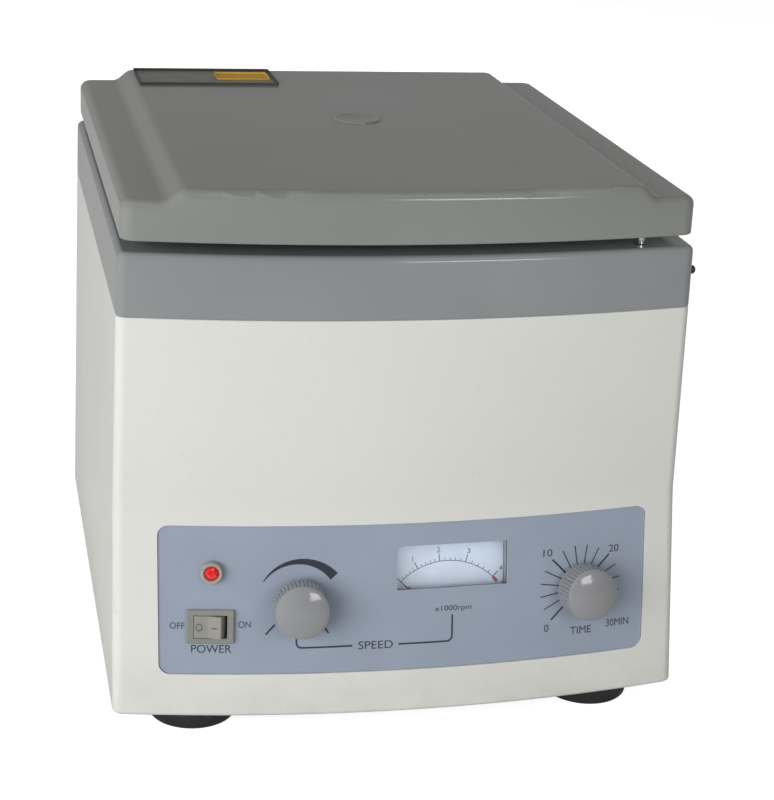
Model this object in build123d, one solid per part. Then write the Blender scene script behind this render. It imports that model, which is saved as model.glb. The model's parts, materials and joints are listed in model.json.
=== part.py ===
from build123d import *
import math
import os

# Bench-top laboratory centrifuge with a twelve-place angle rotor.
# Frame: X to the right, Y to the rear, Z up, floor at Z = 0. All sizes are in millimetres.

os.makedirs("parts", exist_ok=True)

# ---------------------------------------------------------------- driving dimensions
# Case, in plan: straight sides and back, and a front bowed to a large radius
FRONT_Y = -144.7        # front corners of the lid and the deck
CASE_DEPTH = 324.0      # front corner to back wall
BOW_RADIUS = 783.0      # the bowed front, seen from above
HALF_TOP = 151.7        # half width of the case at the deck
HALF_BOTTOM = 155.5     # half width of the case at the floor
WALL = 3.5
CORNER = 6.0            # upright corners of the case

# Case, in height
FOOT_H = 10.0
KICK_Z = 119.1          # below this the front leans out towards the floor
KICK_ANGLE = 9.5
KICK_BEND = 50.0
SEAM_Z = 224.2          # lower housing below, deck housing above
DECK_Z = 257.6

# Lid
LID_HALF = 150.0
LID_DEPTH = 322.4
LID_BOTTOM = 263.7
STRIP_Z = 284.3         # lower strips along both sides of the lid
PLATEAU_Z = 291.0
PLATEAU_HALF = 119.2
SLOPE_FOOT = 127.2
LID_WALL = 3.0
LID_EDGE = 5.0          # rounding of the lid's upper edges
LINER_Z = 265.0
LINER_T = 1.5

# Rotor chamber and rotor, on one upright axis
ROTOR_Y = FRONT_Y + 165.0
BOWL_R = 112.0
BOWL_T = 1.5
BOWL_FLOOR = 147.0
BOWL_CORNER = 14.0
TUBES = 12
TILT = 30.0             # tube axis against the upright axis
MOUTH_R = 52.0          # circle of the tube mouths
MOUTH_Z = 236.0
SLEEVE_R = 11.6
SLEEVE_BORE = 10.6
SLEEVE_L = 88.0
SLEEVE_RIM = 12.7
SLEEVE_RIM_T = 2.0
PLATE_T = 6.0           # rotor plate, measured along the tube axis
SHAFT_R = 5.0
SHAFT_TOP = 223.0
RUNNING = 0.05          # radial clearance of a shaft in its bearing

# Motor and its suspension
MOTOR_R = 40.0
MOTOR_LOW = 32.0
MOTOR_HIGH = 124.0
MOUNT_Z = 98.0          # underside of the motor plate
DAMPER_H = 16.0
DAMPER_R = 10.0
DAMPER_CIRCLE = 60.0

# Control panel, given by X and Z of each item on the leaning front
PANEL_X = (-131.5, 135.8)
PANEL_Z = (33.0, 112.5)
PANEL_RECESS = 2.0
PANEL_T = 1.0
LAMP_AT = (-103.6, 88.0)
SWITCH_AT = (-104.5, 59.0)
SPEED_AT = (-57.5, 70.5)
METER_AT = (25.0, 88.2)
TIMER_AT = (98.0, 70.5)
METER_WINDOW = (61.0, 24.0)
METER_PIVOT = (-0.5, -36.5)    # from the window's middle, in the panel's own plane
NEEDLE_L = 38.0
NEEDLE_REST = 44.0             # left of upright
KNOB_R = 15.0
KNOB_H = 20.0
DOME_RISE = 3.0         # the face domes this far above its rim
DOME_HALF = 12.6
DOME_STEPS = 8
FLUTES = 36
FLUTE_R = 0.85

# Lid latch, at the right-hand front corner
LATCH_X = 123.0
LATCH_Y = FRONT_Y + 7.0
LATCH_Z = 243.0
STRIKER_R = 2.5
LATCH_TRAVEL = 2.5
BUTTON_X = 155.0        # tip of the release button, on the right-hand side

# Hinges, feet, back wall
HINGE_Y = FRONT_Y + CASE_DEPTH + 2.5
HINGE_Z = 260.6
HINGE_X = 95.0
KNUCKLE_R = 3.5
PIN_R = 1.5
FOOT_AT = [(x, y) for x in (-111.0, 111.0) for y in (FRONT_Y + 3.0, FRONT_Y + 296.0)]
FOOT_R = 24.6
BASE_SCREW_AT = [(x, y) for x in (-145.0, 145.0) for y in (FRONT_Y + 8.0, FRONT_Y + 312.0)]
BOARD_Y = FRONT_Y + 180.0      # middle of the circuit board, front to back
BOARD_HOLES = [(x, BOARD_Y + y) for x in (-138.0, -84.0) for y in (-45.0, 45.0)]
INLET_AT = (92.0, 52.0)
FUSE_AT = (48.0, 52.0)
VENT_AT = (-72.0, 78.0)

BACK_Y = FRONT_Y + CASE_DEPTH
BOW_Y = FRONT_Y + math.sqrt(BOW_RADIUS**2 - LID_HALF**2)
ROTOR_AT = Pos(0, ROTOR_Y, 0)


# ---------------------------------------------------------------- shared forms
def export(node, shape):
    """Writes one node's solid, or its group of equal solids."""
    solids = shape if isinstance(shape, list) else [shape]
    body = solids[0] if len(solids) == 1 else Compound(children=[s.solid() for s in solids])
    export_step(body, f"parts/{node}.step")


def block(x, y, z):
    """Box between pairs of limits."""
    size = [b - a for a, b in (x, y, z)]
    middle = [(a + b) / 2 for a, b in (x, y, z)]
    return Pos(*middle) * Box(*size)


def turned(*points):
    """Solid of revolution about Z from a closed (radius, height) outline."""
    return revolve(Plane.XZ * make_face(Polyline(*points, close=True)), Axis.Z)


def rod(radius, z1, z2):
    return Pos(0, 0, (z1 + z2) / 2) * Cylinder(radius, z2 - z1)


def lean(z):
    """How far the front face stands out at height z, before the bend is rounded."""
    return max(0.0, KICK_Z - z) * math.tan(math.radians(KICK_ANGLE))


def drum(inset, low, high):
    """Disc whose rim is the bowed, kicked-out front face, set back by inset."""
    angle = math.radians(KICK_ANGLE)
    bend_z = KICK_Z - inset * math.tan(angle / 2)

    def rim_radius(z):
        return BOW_RADIUS - inset + max(0.0, bend_z - z) * math.tan(angle)

    upright = rim_radius(high)
    rim = [(0, low), (rim_radius(low), low), (upright, high), (0, high)]
    if low < bend_z < high:
        rim.insert(2, (upright, bend_z))
    outline = Plane.XZ * make_face(Polyline(*rim, close=True))
    if len(rim) == 5:
        bend = outline.vertices().sort_by_distance((upright, 0, bend_z))[0]
        outline = fillet(bend, KICK_BEND)
    return Pos(0, BOW_Y, 0) * revolve(outline, Axis.Z)


def case_half(z):
    """Half width of the case at height z: the sides have a little draft."""
    share = (z - FOOT_H) / (DECK_Z - FOOT_H)
    return HALF_BOTTOM + (HALF_TOP - HALF_BOTTOM) * share


def case_form(inset, low, high, corner=0.0):
    """The case's outer form between two heights, set in by inset on all upright faces."""
    front = FRONT_Y - 60
    back = BACK_Y - inset
    ends = []
    for z in (low, high):
        half = case_half(z) - inset
        ends.append(Pos(0, (front + back) / 2, z) * Rectangle(2 * half, back - front))
    form = loft(ends) & drum(inset, low, high)
    if corner:
        uprights = [
            e for e in form.edges()
            if abs(e.center().X) > HALF_TOP - inset - 2 and e.bounding_box().size.Z > 3
        ]
        form = fillet(uprights, corner)
    return form


def panel_place(x, z, out=0.0):
    """Plane on the leaning front at X and Z: local x to the right, y up the slope, z outwards."""
    radius = BOW_RADIUS + lean(z)
    turn = math.asin(x / radius)
    tip = math.radians(KICK_ANGLE)
    normal = Vector(math.sin(turn) * math.cos(tip), -math.cos(turn) * math.cos(tip), math.sin(tip))
    origin = Vector(x, BOW_Y - radius * math.cos(turn), z) + normal * out
    return Plane(origin=origin, x_dir=(math.cos(turn), math.sin(turn), 0), z_dir=normal)


def panel_field(margin):
    """Upright prism through the front wall with the panel's rounded outline."""
    width = PANEL_X[1] - PANEL_X[0] - 2 * margin
    height = PANEL_Z[1] - PANEL_Z[0] - 2 * margin
    outline = RectangleRounded(width, height, 6.0 - margin)
    middle = (sum(PANEL_X) / 2, FRONT_Y, sum(PANEL_Z) / 2)
    return extrude(Plane(origin=middle, x_dir=(1, 0, 0), z_dir=(0, -1, 0)) * outline, 60)


def panel_cutters():
    """Holes through panel and wall for the lamp, switch, knobs and meter window."""
    deep = 12.0
    lamp = panel_place(*LAMP_AT) * Cylinder(4.3, 2 * deep)
    switch = panel_place(*SWITCH_AT) * Box(22.6, 16.6, 2 * deep)
    speed = panel_place(*SPEED_AT) * Cylinder(5.0, 2 * deep)
    timer = panel_place(*TIMER_AT) * Cylinder(5.0, 2 * deep)
    meter = panel_place(*METER_AT) * Box(*METER_WINDOW, 2 * deep)
    return [lamp, switch, speed, timer, meter]


# ---------------------------------------------------------------- housings
def lower_housing():
    shell = case_form(0, FOOT_H, SEAM_Z, CORNER)
    foot_edges = shell.edges().filter_by(lambda e: e.bounding_box().max.Z < FOOT_H + 0.01)
    shell = fillet(foot_edges, 2.0)
    seam_edges = shell.edges().filter_by(lambda e: e.bounding_box().min.Z > SEAM_Z - 0.01)
    shell = fillet(seam_edges, 0.8)
    shell -= case_form(WALL, FOOT_H - 1, SEAM_Z + 1)
    for x, y in BASE_SCREW_AT:
        boss = Pos(x, y, 0) * (rod(7, 12.2, 34) - rod(1.6, 12, 28))
        shell += boss & case_form(1, 12, 40)
    shell -= panel_field(0) - drum(PANEL_RECESS, 0, 140)
    for cutter in panel_cutters():
        shell -= cutter
    wall_y = (BACK_Y - 8, BACK_Y + 8)
    for row in range(7):
        z = VENT_AT[1] + (row - 3) * 9
        slot = Plane(origin=(VENT_AT[0], BACK_Y, z), x_dir=(1, 0, 0), z_dir=(0, -1, 0))
        shell -= slot * extrude(SlotOverall(72, 4), 8, both=True)
    x, z = INLET_AT
    shell -= block((x - 14, x + 14), wall_y, (z - 10.5, z + 10.5))
    shell -= Pos(FUSE_AT[0], BACK_Y, FUSE_AT[1]) * Rot(90, 0, 0) * Cylinder(6.2, 16)
    for side in (-1, 1):
        shell -= Pos(x + side * 20, BACK_Y, z) * Rot(90, 0, 0) * Cylinder(1.7, 16)
    return shell


def upper_housing():
    shell = case_form(0, SEAM_Z, DECK_Z, CORNER)
    top_edges = shell.edges().filter_by(lambda e: e.bounding_box().min.Z > DECK_Z - 0.01)
    shell = fillet(top_edges, 3.5)
    seam_edges = shell.edges().filter_by(lambda e: e.bounding_box().max.Z < SEAM_Z + 0.01)
    shell = fillet(seam_edges, 0.8)
    shell -= case_form(WALL, SEAM_Z - 1, DECK_Z - WALL)
    tongue = case_form(WALL - 0.5, SEAM_Z + 1, SEAM_Z + 6) - case_form(WALL + 2, SEAM_Z, SEAM_Z + 7)
    tongue += case_form(WALL + 0.2, SEAM_Z - 6, SEAM_Z + 1) - case_form(WALL + 2, SEAM_Z - 7, SEAM_Z + 2)
    shell += tongue
    shell += ROTOR_AT * rod(BOWL_R + 3, DECK_Z - 14, DECK_Z - 1)
    shell -= ROTOR_AT * rod(BOWL_R + 0.4, DECK_Z - 15, DECK_Z + 1)
    shell -= Pos(LATCH_X, LATCH_Y, DECK_Z) * Cylinder(STRIKER_R + 1.2, 12)
    shell -= Pos(150, LATCH_Y, LATCH_Z) * Rot(0, 90, 0) * Cylinder(2.6, 12)
    shell -= hinge_screw_holes(BACK_Y, DECK_Z - 17)
    return shell


def base_plate():
    plate = case_form(WALL + 0.2, FOOT_H, FOOT_H + 2)
    for x, y in BASE_SCREW_AT:
        plate -= Pos(x, y, FOOT_H + 1) * Cylinder(1.8, 6)
    for x, y in FOOT_AT:
        plate -= Pos(x, y, FOOT_H + 1) * Cylinder(2.6, 6)
    for step in range(-2, 3):
        slot = Pos(0, ROTOR_Y + step * 12, FOOT_H + 1) * extrude(SlotOverall(60, 5), 4, both=True)
        plate -= slot
    return plate


def rubber_feet():
    foot = turned((8, 0), (21.5, 0), (23.2, 0.8), (FOOT_R, FOOT_H), (2.7, FOOT_H), (2.7, 4.5), (8, 4.5))
    return [Pos(x, y, 0) * foot for x, y in FOOT_AT]


def foot_screws():
    screw = rod(4.6, 2.2, 4.5) + rod(2.5, 4.5, 17)
    nut = extrude(RegularPolygon(4.0, 6), 3.5)
    fixing = screw + Pos(0, 0, FOOT_H + 2) * nut
    return [Pos(x, y, 0) * fixing for x, y in FOOT_AT]


def base_screws():
    screw = rod(3.2, FOOT_H - 2, FOOT_H) + rod(1.5, FOOT_H, 24)
    return [Pos(x, y, 0) * screw for x, y in BASE_SCREW_AT]


# ---------------------------------------------------------------- lid
def lid_plan(inset, low, high, corner):
    """Lid outline in plan, as an upright prism with rounded corners."""
    half = LID_HALF - inset
    back = FRONT_Y + LID_DEPTH - inset
    prism = block((-half, half), (FRONT_Y - 40, back), (low, high))
    prism &= Pos(0, BOW_Y, 0) * rod(BOW_RADIUS - inset, low, high)
    return fillet(prism.edges().filter_by(Axis.Z), corner)


def lid_section(inset):
    """Cross-section of the lid: two low side strips and the raised plateau."""
    half = LID_HALF - inset + 5
    foot = SLOPE_FOOT - inset * 0.4
    top = PLATEAU_HALF - inset * 0.4
    low = LID_BOTTOM - inset
    strip, crest = STRIP_Z - inset, PLATEAU_Z - inset
    right = [(half, low), (half, strip), (foot, strip), (top, crest)]
    left = [(-x, z) for x, z in reversed(right)]
    outline = Plane.XZ * make_face(Polyline(*right, *left, close=True))
    creases = outline.vertices().filter_by(lambda v: top - 1 < abs(v.X) < foot + 1)
    outline = fillet(creases, 7.0)
    return extrude(outline, 250, both=True)


def lid_shell():
    shell = lid_section(0) & lid_plan(0, LID_BOTTOM, PLATEAU_Z, 8.0)
    rim = [
        e for e in shell.edges()
        if e.bounding_box().min.Z > STRIP_Z - 0.1
        and (abs(e.center().X) > LID_HALF - 3 or e.center().Y < FRONT_Y + 4
             or e.center().Y > FRONT_Y + LID_DEPTH - 3)
    ]
    shell = fillet(rim, LID_EDGE)
    shell = fillet(shell.edges().filter_by(lambda e: e.bounding_box().max.Z < LID_BOTTOM + 0.01), 1.0)
    shell -= lid_section(LID_WALL) & lid_plan(LID_WALL, LID_BOTTOM - 1, PLATEAU_Z, 5.0)
    shell -= ROTOR_AT * rod(10.2, PLATEAU_Z - 10, PLATEAU_Z + 1)
    shell -= hinge_screw_holes(FRONT_Y + LID_DEPTH, LID_BOTTOM + 8.5)
    return shell


def lid_liner():
    """Flat tray that closes the lid from below, pressed in over the rotor for room."""
    inset = LID_WALL + 0.2
    liner = lid_plan(inset, LINER_Z, LINER_Z + LINER_T, 5.0)
    dome = turned((0, LINER_Z + 8), (70, LINER_Z + 8), (86, LINER_Z + LINER_T), (86, LINER_Z),
                  (84.5, LINER_Z), (69.5, LINER_Z + 8 - LINER_T), (0, LINER_Z + 8 - LINER_T))
    hole = rod(84.5, LINER_Z - 1, LINER_Z + LINER_T + 1)
    return liner - ROTOR_AT * hole + ROTOR_AT * dome


def lid_gasket():
    ring = turned((BOWL_R - 1, LINER_Z), (BOWL_R - 0.5, LINER_Z - 5), (BOWL_R + 1.5, LINER_Z - 5.4),
                  (BOWL_R + 3.5, LINER_Z - 5), (BOWL_R + 4, LINER_Z))
    return ROTOR_AT * ring


def sight_plug():
    top = PLATEAU_Z
    plug = turned((0, top - 0.4), (9.5, top + 0.2), (12.2, top + 0.9), (13.4, top + 0.9), (14, top + 0.4),
                  (14, top), (10, top), (10, top - 5), (8.5, top - 5), (8.5, top - 2), (0, top - 2))
    return ROTOR_AT * plug


# ---------------------------------------------------------------- hinges
def knuckles(spans):
    barrel = [Pos((a + b) / 2, HINGE_Y, HINGE_Z) * Rot(0, 90, 0) * Cylinder(KNUCKLE_R, b - a)
              for a, b in spans]
    bore = Pos(0, HINGE_Y, HINGE_Z) * Rot(0, 90, 0) * Cylinder(PIN_R + RUNNING, 80)
    return barrel, bore


def case_leaves():
    """Hinge halves on the case: a plate on the back wall and the two outer knuckles."""
    spans = [(-25, -12.7), (12.7, 25)]
    barrels, bore = knuckles(spans)
    leaf = block((-25, 25), (BACK_Y, BACK_Y + 1.5), (DECK_Z - 28, DECK_Z - 5))
    for (a, b), barrel in zip(spans, barrels):
        leaf += block((a, b), (BACK_Y + 0.3, BACK_Y + 1.5), (DECK_Z - 6, HINGE_Z)) + barrel
    leaf -= bore
    for x in (-17, 17):
        leaf -= Pos(x, BACK_Y, DECK_Z - 17) * Rot(90, 0, 0) * Cylinder(1.7, 8)
    return [Pos(side * HINGE_X, 0, 0) * leaf for side in (-1, 1)]


def lid_leaves():
    """Hinge halves on the lid, with the middle knuckle."""
    lid_back = FRONT_Y + LID_DEPTH
    (barrel,), bore = knuckles([(-12.3, 12.3)])
    leaf = block((-25, 25), (lid_back, lid_back + 1.5), (LID_BOTTOM + 2, STRIP_Z - 6))
    leaf += block((-12.3, 12.3), (lid_back + 0.2, lid_back + 1.5), (HINGE_Z, LID_BOTTOM + 3)) + barrel
    leaf -= bore
    for x in (-17, 17):
        leaf -= Pos(x, lid_back, LID_BOTTOM + 8.5) * Rot(90, 0, 0) * Cylinder(1.7, 8)
    return [Pos(side * HINGE_X, 0, 0) * leaf for side in (-1, 1)]


def hinge_pins():
    pin = Rot(0, 90, 0) * (Cylinder(PIN_R, 51) + Pos(0, 0, 26.2) * Cylinder(2.4, 1.4))
    return [Pos(side * HINGE_X, HINGE_Y, HINGE_Z) * pin for side in (-1, 1)]


def hinge_screw_holes(wall_y, z):
    return [Pos(side * HINGE_X + x, wall_y, z) * Rot(90, 0, 0) * Cylinder(1.7, 16)
            for side in (-1, 1) for x in (-17, 17)]


def hinge_screws(face_y, z):
    """Pan-head screws of one leaf on each side; the head's underside is on the leaf."""
    head = turned((0, 0), (3.2, 0), (3.0, 1.2), (1.6, 1.9), (0, 1.9)) + rod(1.5, -6, 0)
    return [Pos(side * HINGE_X + x, face_y, z) * Rot(-90, 0, 0) * head
            for side in (-1, 1) for x in (-17, 17)]


# ---------------------------------------------------------------- latch
def latch_striker():
    base = Pos(0, 0, LINER_Z) * Cylinder(5, 2, align=(Align.CENTER, Align.CENTER, Align.MAX))
    pin = turned((0, LATCH_Z - 5), (1.2, LATCH_Z - 5), (STRIKER_R, LATCH_Z - 3), (STRIKER_R, LATCH_Z - 1.6),
                 (1.6, LATCH_Z - 1.4), (1.6, LATCH_Z + 1.6), (STRIKER_R, LATCH_Z + 2.4),
                 (STRIKER_R, LINER_Z), (0, LINER_Z))
    return Pos(LATCH_X, LATCH_Y, 0) * (base + pin)


def latch_slide():
    """Push button, its rod, and the plate whose window stands round the striker."""
    y = LATCH_Y
    plate = block((LATCH_X - 7, LATCH_X + 14), (y - 4.6, y + 4.6), (LATCH_Z - 1, LATCH_Z + 1))
    plate -= block((LATCH_X - STRIKER_R - 0.3, LATCH_X + STRIKER_R + LATCH_TRAVEL + 0.6),
                   (y - STRIKER_R - 0.5, y + STRIKER_R + 0.5), (LATCH_Z - 3, LATCH_Z + 3))
    reach = BUTTON_X - LATCH_X - 12
    stem = turned((0, 0), (2.3, 0), (2.3, reach - 1.2), (1.5, reach - 0.3), (0, reach))
    return plate + Pos(LATCH_X + 12, y, LATCH_Z) * Rot(0, 90, 0) * stem


def latch_body():
    """Moulded guide under the deck: a slot for the slide and a well for the striker."""
    y = LATCH_Y
    top = DECK_Z - WALL
    guide = block((LATCH_X - 14, LATCH_X + 20), (y - 6.5, y + 8), (LATCH_Z - 6, top))
    guide -= block((LATCH_X - 12.5, LATCH_X + 21), (y - 4.9, y + 4.9), (LATCH_Z - 1.3, LATCH_Z + 1.3))
    guide -= block((LATCH_X + 8, LATCH_X + 21), (y - 2.7, y + 2.7), (LATCH_Z - 2.7, LATCH_Z + 2.7))
    guide -= Pos(LATCH_X, y, 0) * rod(STRIKER_R + 1.2, LATCH_Z - 7, top + 1)
    return guide & case_form(WALL + 0.1, LATCH_Z - 8, DECK_Z)


# ---------------------------------------------------------------- chamber, rotor and motor
def rotor_chamber():
    """Spun bowl that hangs by its rim on the deck."""
    floor, corner = BOWL_FLOOR, BOWL_CORNER
    out_r, in_r = BOWL_R, BOWL_R - BOWL_T
    bowl = turned((13, floor), (in_r, floor), (in_r, DECK_Z + BOWL_T), (out_r + 4, DECK_Z + BOWL_T),
                  (out_r + 4, DECK_Z), (out_r, DECK_Z), (out_r, floor - BOWL_T), (13, floor - BOWL_T))
    inner = bowl.edges().filter_by(GeomType.CIRCLE).filter_by(
        lambda e: abs(e.radius - in_r) < 0.01 and abs(e.center().Z - floor) < 0.01)
    bowl = fillet(inner, corner)
    outer = bowl.edges().filter_by(GeomType.CIRCLE).filter_by(
        lambda e: abs(e.radius - out_r) < 0.01 and abs(e.center().Z - floor + BOWL_T) < 0.01)
    bowl = fillet(outer, corner + BOWL_T)
    return ROTOR_AT * bowl


def chamber_boot():
    """Rubber collar that seals the bowl's floor round the shaft."""
    z = BOWL_FLOOR
    boot = turned((6.2, z - 5), (15, z - 5), (15, z - BOWL_T), (12.8, z - BOWL_T), (12.8, z), (15, z),
                  (15, z + 2.5), (10, z + 5), (8, z + 9), (6.2, z + 9))
    return ROTOR_AT * boot


def tube_place(index):
    """Plane at a tube mouth: local z points out of the mouth, up and towards the rotor axis."""
    turn = math.radians(360 / TUBES * index)
    tip = math.radians(TILT)
    outward = Vector(math.cos(turn), math.sin(turn), 0)
    normal = Vector(0, 0, math.cos(tip)) - outward * math.sin(tip)
    tangent = Vector(-math.sin(turn), math.cos(turn), 0)
    origin = Vector(0, ROTOR_Y, MOUTH_Z) + outward * MOUTH_R
    return Plane(origin=origin, x_dir=tangent, z_dir=normal)


def rotor_body():
    """Cast cone plate on a hub. Its upper face is square to the tubes, which pass through it."""
    tip = math.radians(TILT)
    rise = math.tan(tip)
    hub_r, rim_r = 20.0, MOUTH_R + 16
    deep = PLATE_T / math.cos(tip)

    def face(r):
        return MOUTH_Z + (r - MOUTH_R) * rise

    bore = SHAFT_R + RUNNING
    profile = [
        (bore, face(hub_r) - 4), (hub_r - 8, face(hub_r) - 4), (hub_r, face(hub_r)),
        (rim_r, face(rim_r)), (rim_r + 3, face(rim_r)), (rim_r + 3, face(rim_r) - 9), (rim_r, face(rim_r) - 9),
        (rim_r, face(rim_r) - deep), (hub_r + 6, face(hub_r + 6) - deep), (18, face(hub_r) - deep - 2),
        (16, face(hub_r) - 44), (bore, face(hub_r) - 44),
    ]
    plate = turned(*profile)
    for index in range(TUBES):
        local = Plane(origin=tube_place(index).origin - ROTOR_AT.position,
                      x_dir=tube_place(index).x_dir, z_dir=tube_place(index).z_dir)
        plate -= local * Pos(0, 0, -20) * Cylinder(SLEEVE_R + 0.2, 60)
        plate -= local * rod(SLEEVE_RIM + 0.2, 0, 8)
    return ROTOR_AT * plate


def tube_sleeve(index):
    """Round-bottomed sleeve that hangs by its rim in the rotor plate."""
    deep = SLEEVE_L - SLEEVE_R
    cup = rod(SLEEVE_R, -deep, 0) + Pos(0, 0, -deep) * Sphere(SLEEVE_R)
    cup += rod(SLEEVE_RIM, 0, SLEEVE_RIM_T)
    cup -= rod(SLEEVE_BORE, -deep, SLEEVE_RIM_T + 1) + Pos(0, 0, -deep) * Sphere(SLEEVE_BORE)
    return tube_place(index) * cup


def rotor_nut():
    seat = MOUTH_Z + (20.0 - MOUTH_R) * math.tan(math.radians(TILT)) - 4
    bore = SHAFT_R + RUNNING
    skirt = turned((bore, seat), (11, seat), (11, seat + 2), (bore, seat + 2))
    cap = Pos(0, 0, seat + 2) * extrude(RegularPolygon(9.5, 6), 9)
    cap -= rod(bore, seat, SHAFT_TOP + 0.3)
    crown = turned((0, seat + 11), (8.0, seat + 11), (6.2, seat + 14.5), (3.5, seat + 16), (0, seat + 16.4))
    return ROTOR_AT * (skirt + cap + crown)


def motor_shaft():
    return ROTOR_AT * (rod(SHAFT_R, MOTOR_LOW + 4, SHAFT_TOP) + rod(8.5, MOTOR_HIGH + 8.3, MOTOR_HIGH + 14))


def motor_housing():
    can = turned((0, MOTOR_LOW + 12), (MOTOR_R, MOTOR_LOW + 12), (MOTOR_R, MOUNT_Z + 3), (MOTOR_R + 9, MOUNT_Z + 3),
                 (MOTOR_R + 9, MOUNT_Z + 7), (MOTOR_R, MOUNT_Z + 7), (MOTOR_R, MOTOR_HIGH - 10),
                 (0, MOTOR_HIGH - 10))
    return ROTOR_AT * (can - rod(SHAFT_R + 1, 0, 300))


def motor_cap(z_joint, way):
    """Domed end bell with the bearing boss, above (way 1) or below (way -1) the can."""
    outline = [(SHAFT_R + RUNNING, 0), (MOTOR_R + 1, 0), (MOTOR_R + 1, 4), (MOTOR_R - 6, 10), (14, 11),
               (13, 18), (SHAFT_R + RUNNING, 18)]
    return ROTOR_AT * turned(*[(r, z_joint + way * z) for r, z in outline])


def motor_plate():
    disc = rod(68, MOUNT_Z, MOUNT_Z + 3) - rod(MOTOR_R + 0.3, MOUNT_Z - 1, MOUNT_Z + 4)
    for hole in PolarLocations(DAMPER_CIRCLE, 3, start_angle=90):
        disc -= hole * rod(2.2, MOUNT_Z - 1, MOUNT_Z + 4)
    return ROTOR_AT * disc


def dampers():
    top = MOUNT_Z
    rubber = turned((2.1, top - DAMPER_H), (DAMPER_R, top - DAMPER_H), (DAMPER_R - 2, top - DAMPER_H / 2),
                    (DAMPER_R, top), (2.1, top))
    return [ROTOR_AT * hole * rubber for hole in PolarLocations(DAMPER_CIRCLE, 3, start_angle=90)]


def motor_posts():
    """Steel posts from the base plate, each with a stud through its damper and a nut on top."""
    base, step = FOOT_H + 2, MOUNT_Z - DAMPER_H
    post = rod(11, base, base + 3) + rod(6, base + 3, step) + rod(2.0, step, MOUNT_Z + 9)
    post += Pos(0, 0, MOUNT_Z + 3) * extrude(RegularPolygon(4.2, 6), 3.5)
    return [ROTOR_AT * hole * post for hole in PolarLocations(DAMPER_CIRCLE, 3, start_angle=90)]


# ---------------------------------------------------------------- controls
def control_panel():
    plate = (panel_field(0.25) & drum(PANEL_RECESS - PANEL_T, 0, 140)) - drum(PANEL_RECESS, 0, 140)
    for cutter in panel_cutters():
        plate -= cutter
    return plate


def knob(place):
    """Fluted moulded knob, hollow below for the bush nut, with a domed face."""
    base = -PANEL_T + 0.5
    edge = base + KNOB_H - DOME_RISE
    dome_r = (DOME_HALF ** 2 + DOME_RISE ** 2) / (2 * DOME_RISE)
    sweep = math.asin(DOME_HALF / dome_r)
    crown = [(dome_r * math.sin(sweep * (DOME_STEPS - i) / DOME_STEPS),
              edge + DOME_RISE - dome_r * (1 - math.cos(sweep * (DOME_STEPS - i) / DOME_STEPS)))
             for i in range(DOME_STEPS + 1)]
    form = turned((0, base), (KNOB_R, base), (KNOB_R, base + 1.6), (KNOB_R - 0.5, base + 2.2),
                  (KNOB_R - 1.3, edge - 1.6), (KNOB_R - 1.8, edge - 0.5), *crown)
    flute = Pos(KNOB_R + 0.1, 0, base + 2.4) * Rot(0, -3, 0) * Cylinder(
        FLUTE_R, edge - base - 4.0, align=(Align.CENTER, Align.CENTER, Align.MIN))
    for spot in PolarLocations(0, FLUTES):
        form -= spot * flute
    form -= rod(10, base - 1, base + 4)
    form -= rod(3.0 + 0.02, base, base + KNOB_H - 4)
    return panel_place(*place) * form


def control_shaft(place):
    return panel_place(*place) * rod(3.0, -14, KNOB_H - 5)


def bush(radius):
    """Threaded bush that clamps a control to the wall, bored for the shaft."""
    return rod(radius, -6, 0.6) - rod(3.0 + RUNNING, -20, 2)


def bush_nuts():
    nut = extrude(RegularPolygon(7.0, 6), 2.2) - rod(4.8, -1, 3)
    return [panel_place(*place) * Pos(0, 0, -PANEL_T + 0.05) * nut for place in (SPEED_AT, TIMER_AT)]


def speed_potentiometer():
    can = rod(12, -16, -5) - rod(3.0 + RUNNING, -14.5, -4)
    lugs = [Pos(x, -13.5, -12) * Box(2.2, 6, 0.8) for x in (-5, 0, 5)]
    return panel_place(*SPEED_AT) * (bush(4.7) + can + lugs[0] + lugs[1] + lugs[2])


def timer_unit():
    """Clockwork timer: a square case behind the panel with its bush and terminals."""
    case = Pos(0, 0, -22) * Box(46, 46, 34) - rod(3.0 + RUNNING, -14.5, -4)
    case = fillet(case.edges().filter_by(Axis.Z).filter_by(lambda e: abs(e.center().X) > 20), 4)
    case += Pos(-12, 0, -41) * Box(4, 9, 5)
    case += Pos(12, 0, -41) * Box(4, 9, 5)
    return panel_place(*TIMER_AT) * (bush(4.7) + case)


def switch_body():
    bezel = Pos(0, 0, 0.1) * Box(25, 18.2, 2.2)
    bezel = fillet(bezel.edges().filter_by(Axis.Z), 1.0)
    bezel = chamfer(bezel.faces().sort_by(Axis.Z)[-1].edges(), 0.5)
    can = Pos(0, 0, -9.5) * Box(22, 16, 17.2)
    well = Pos(0, 0, -4) * Box(2 * WELL_HALF[0], 2 * WELL_HALF[1], 16)
    tabs = [Pos(x, 0, -21) * Box(0.8, 6.3, 7) for x in (-7, 7)]
    return panel_place(*SWITCH_AT) * (bezel + can - well + tabs[0] + tabs[1])


WELL_HALF = (8.9, 6.3)
ROCKER_PIVOT = -6.0
ROCKER_THROW = 10.0     # degrees to either side of the middle


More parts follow.
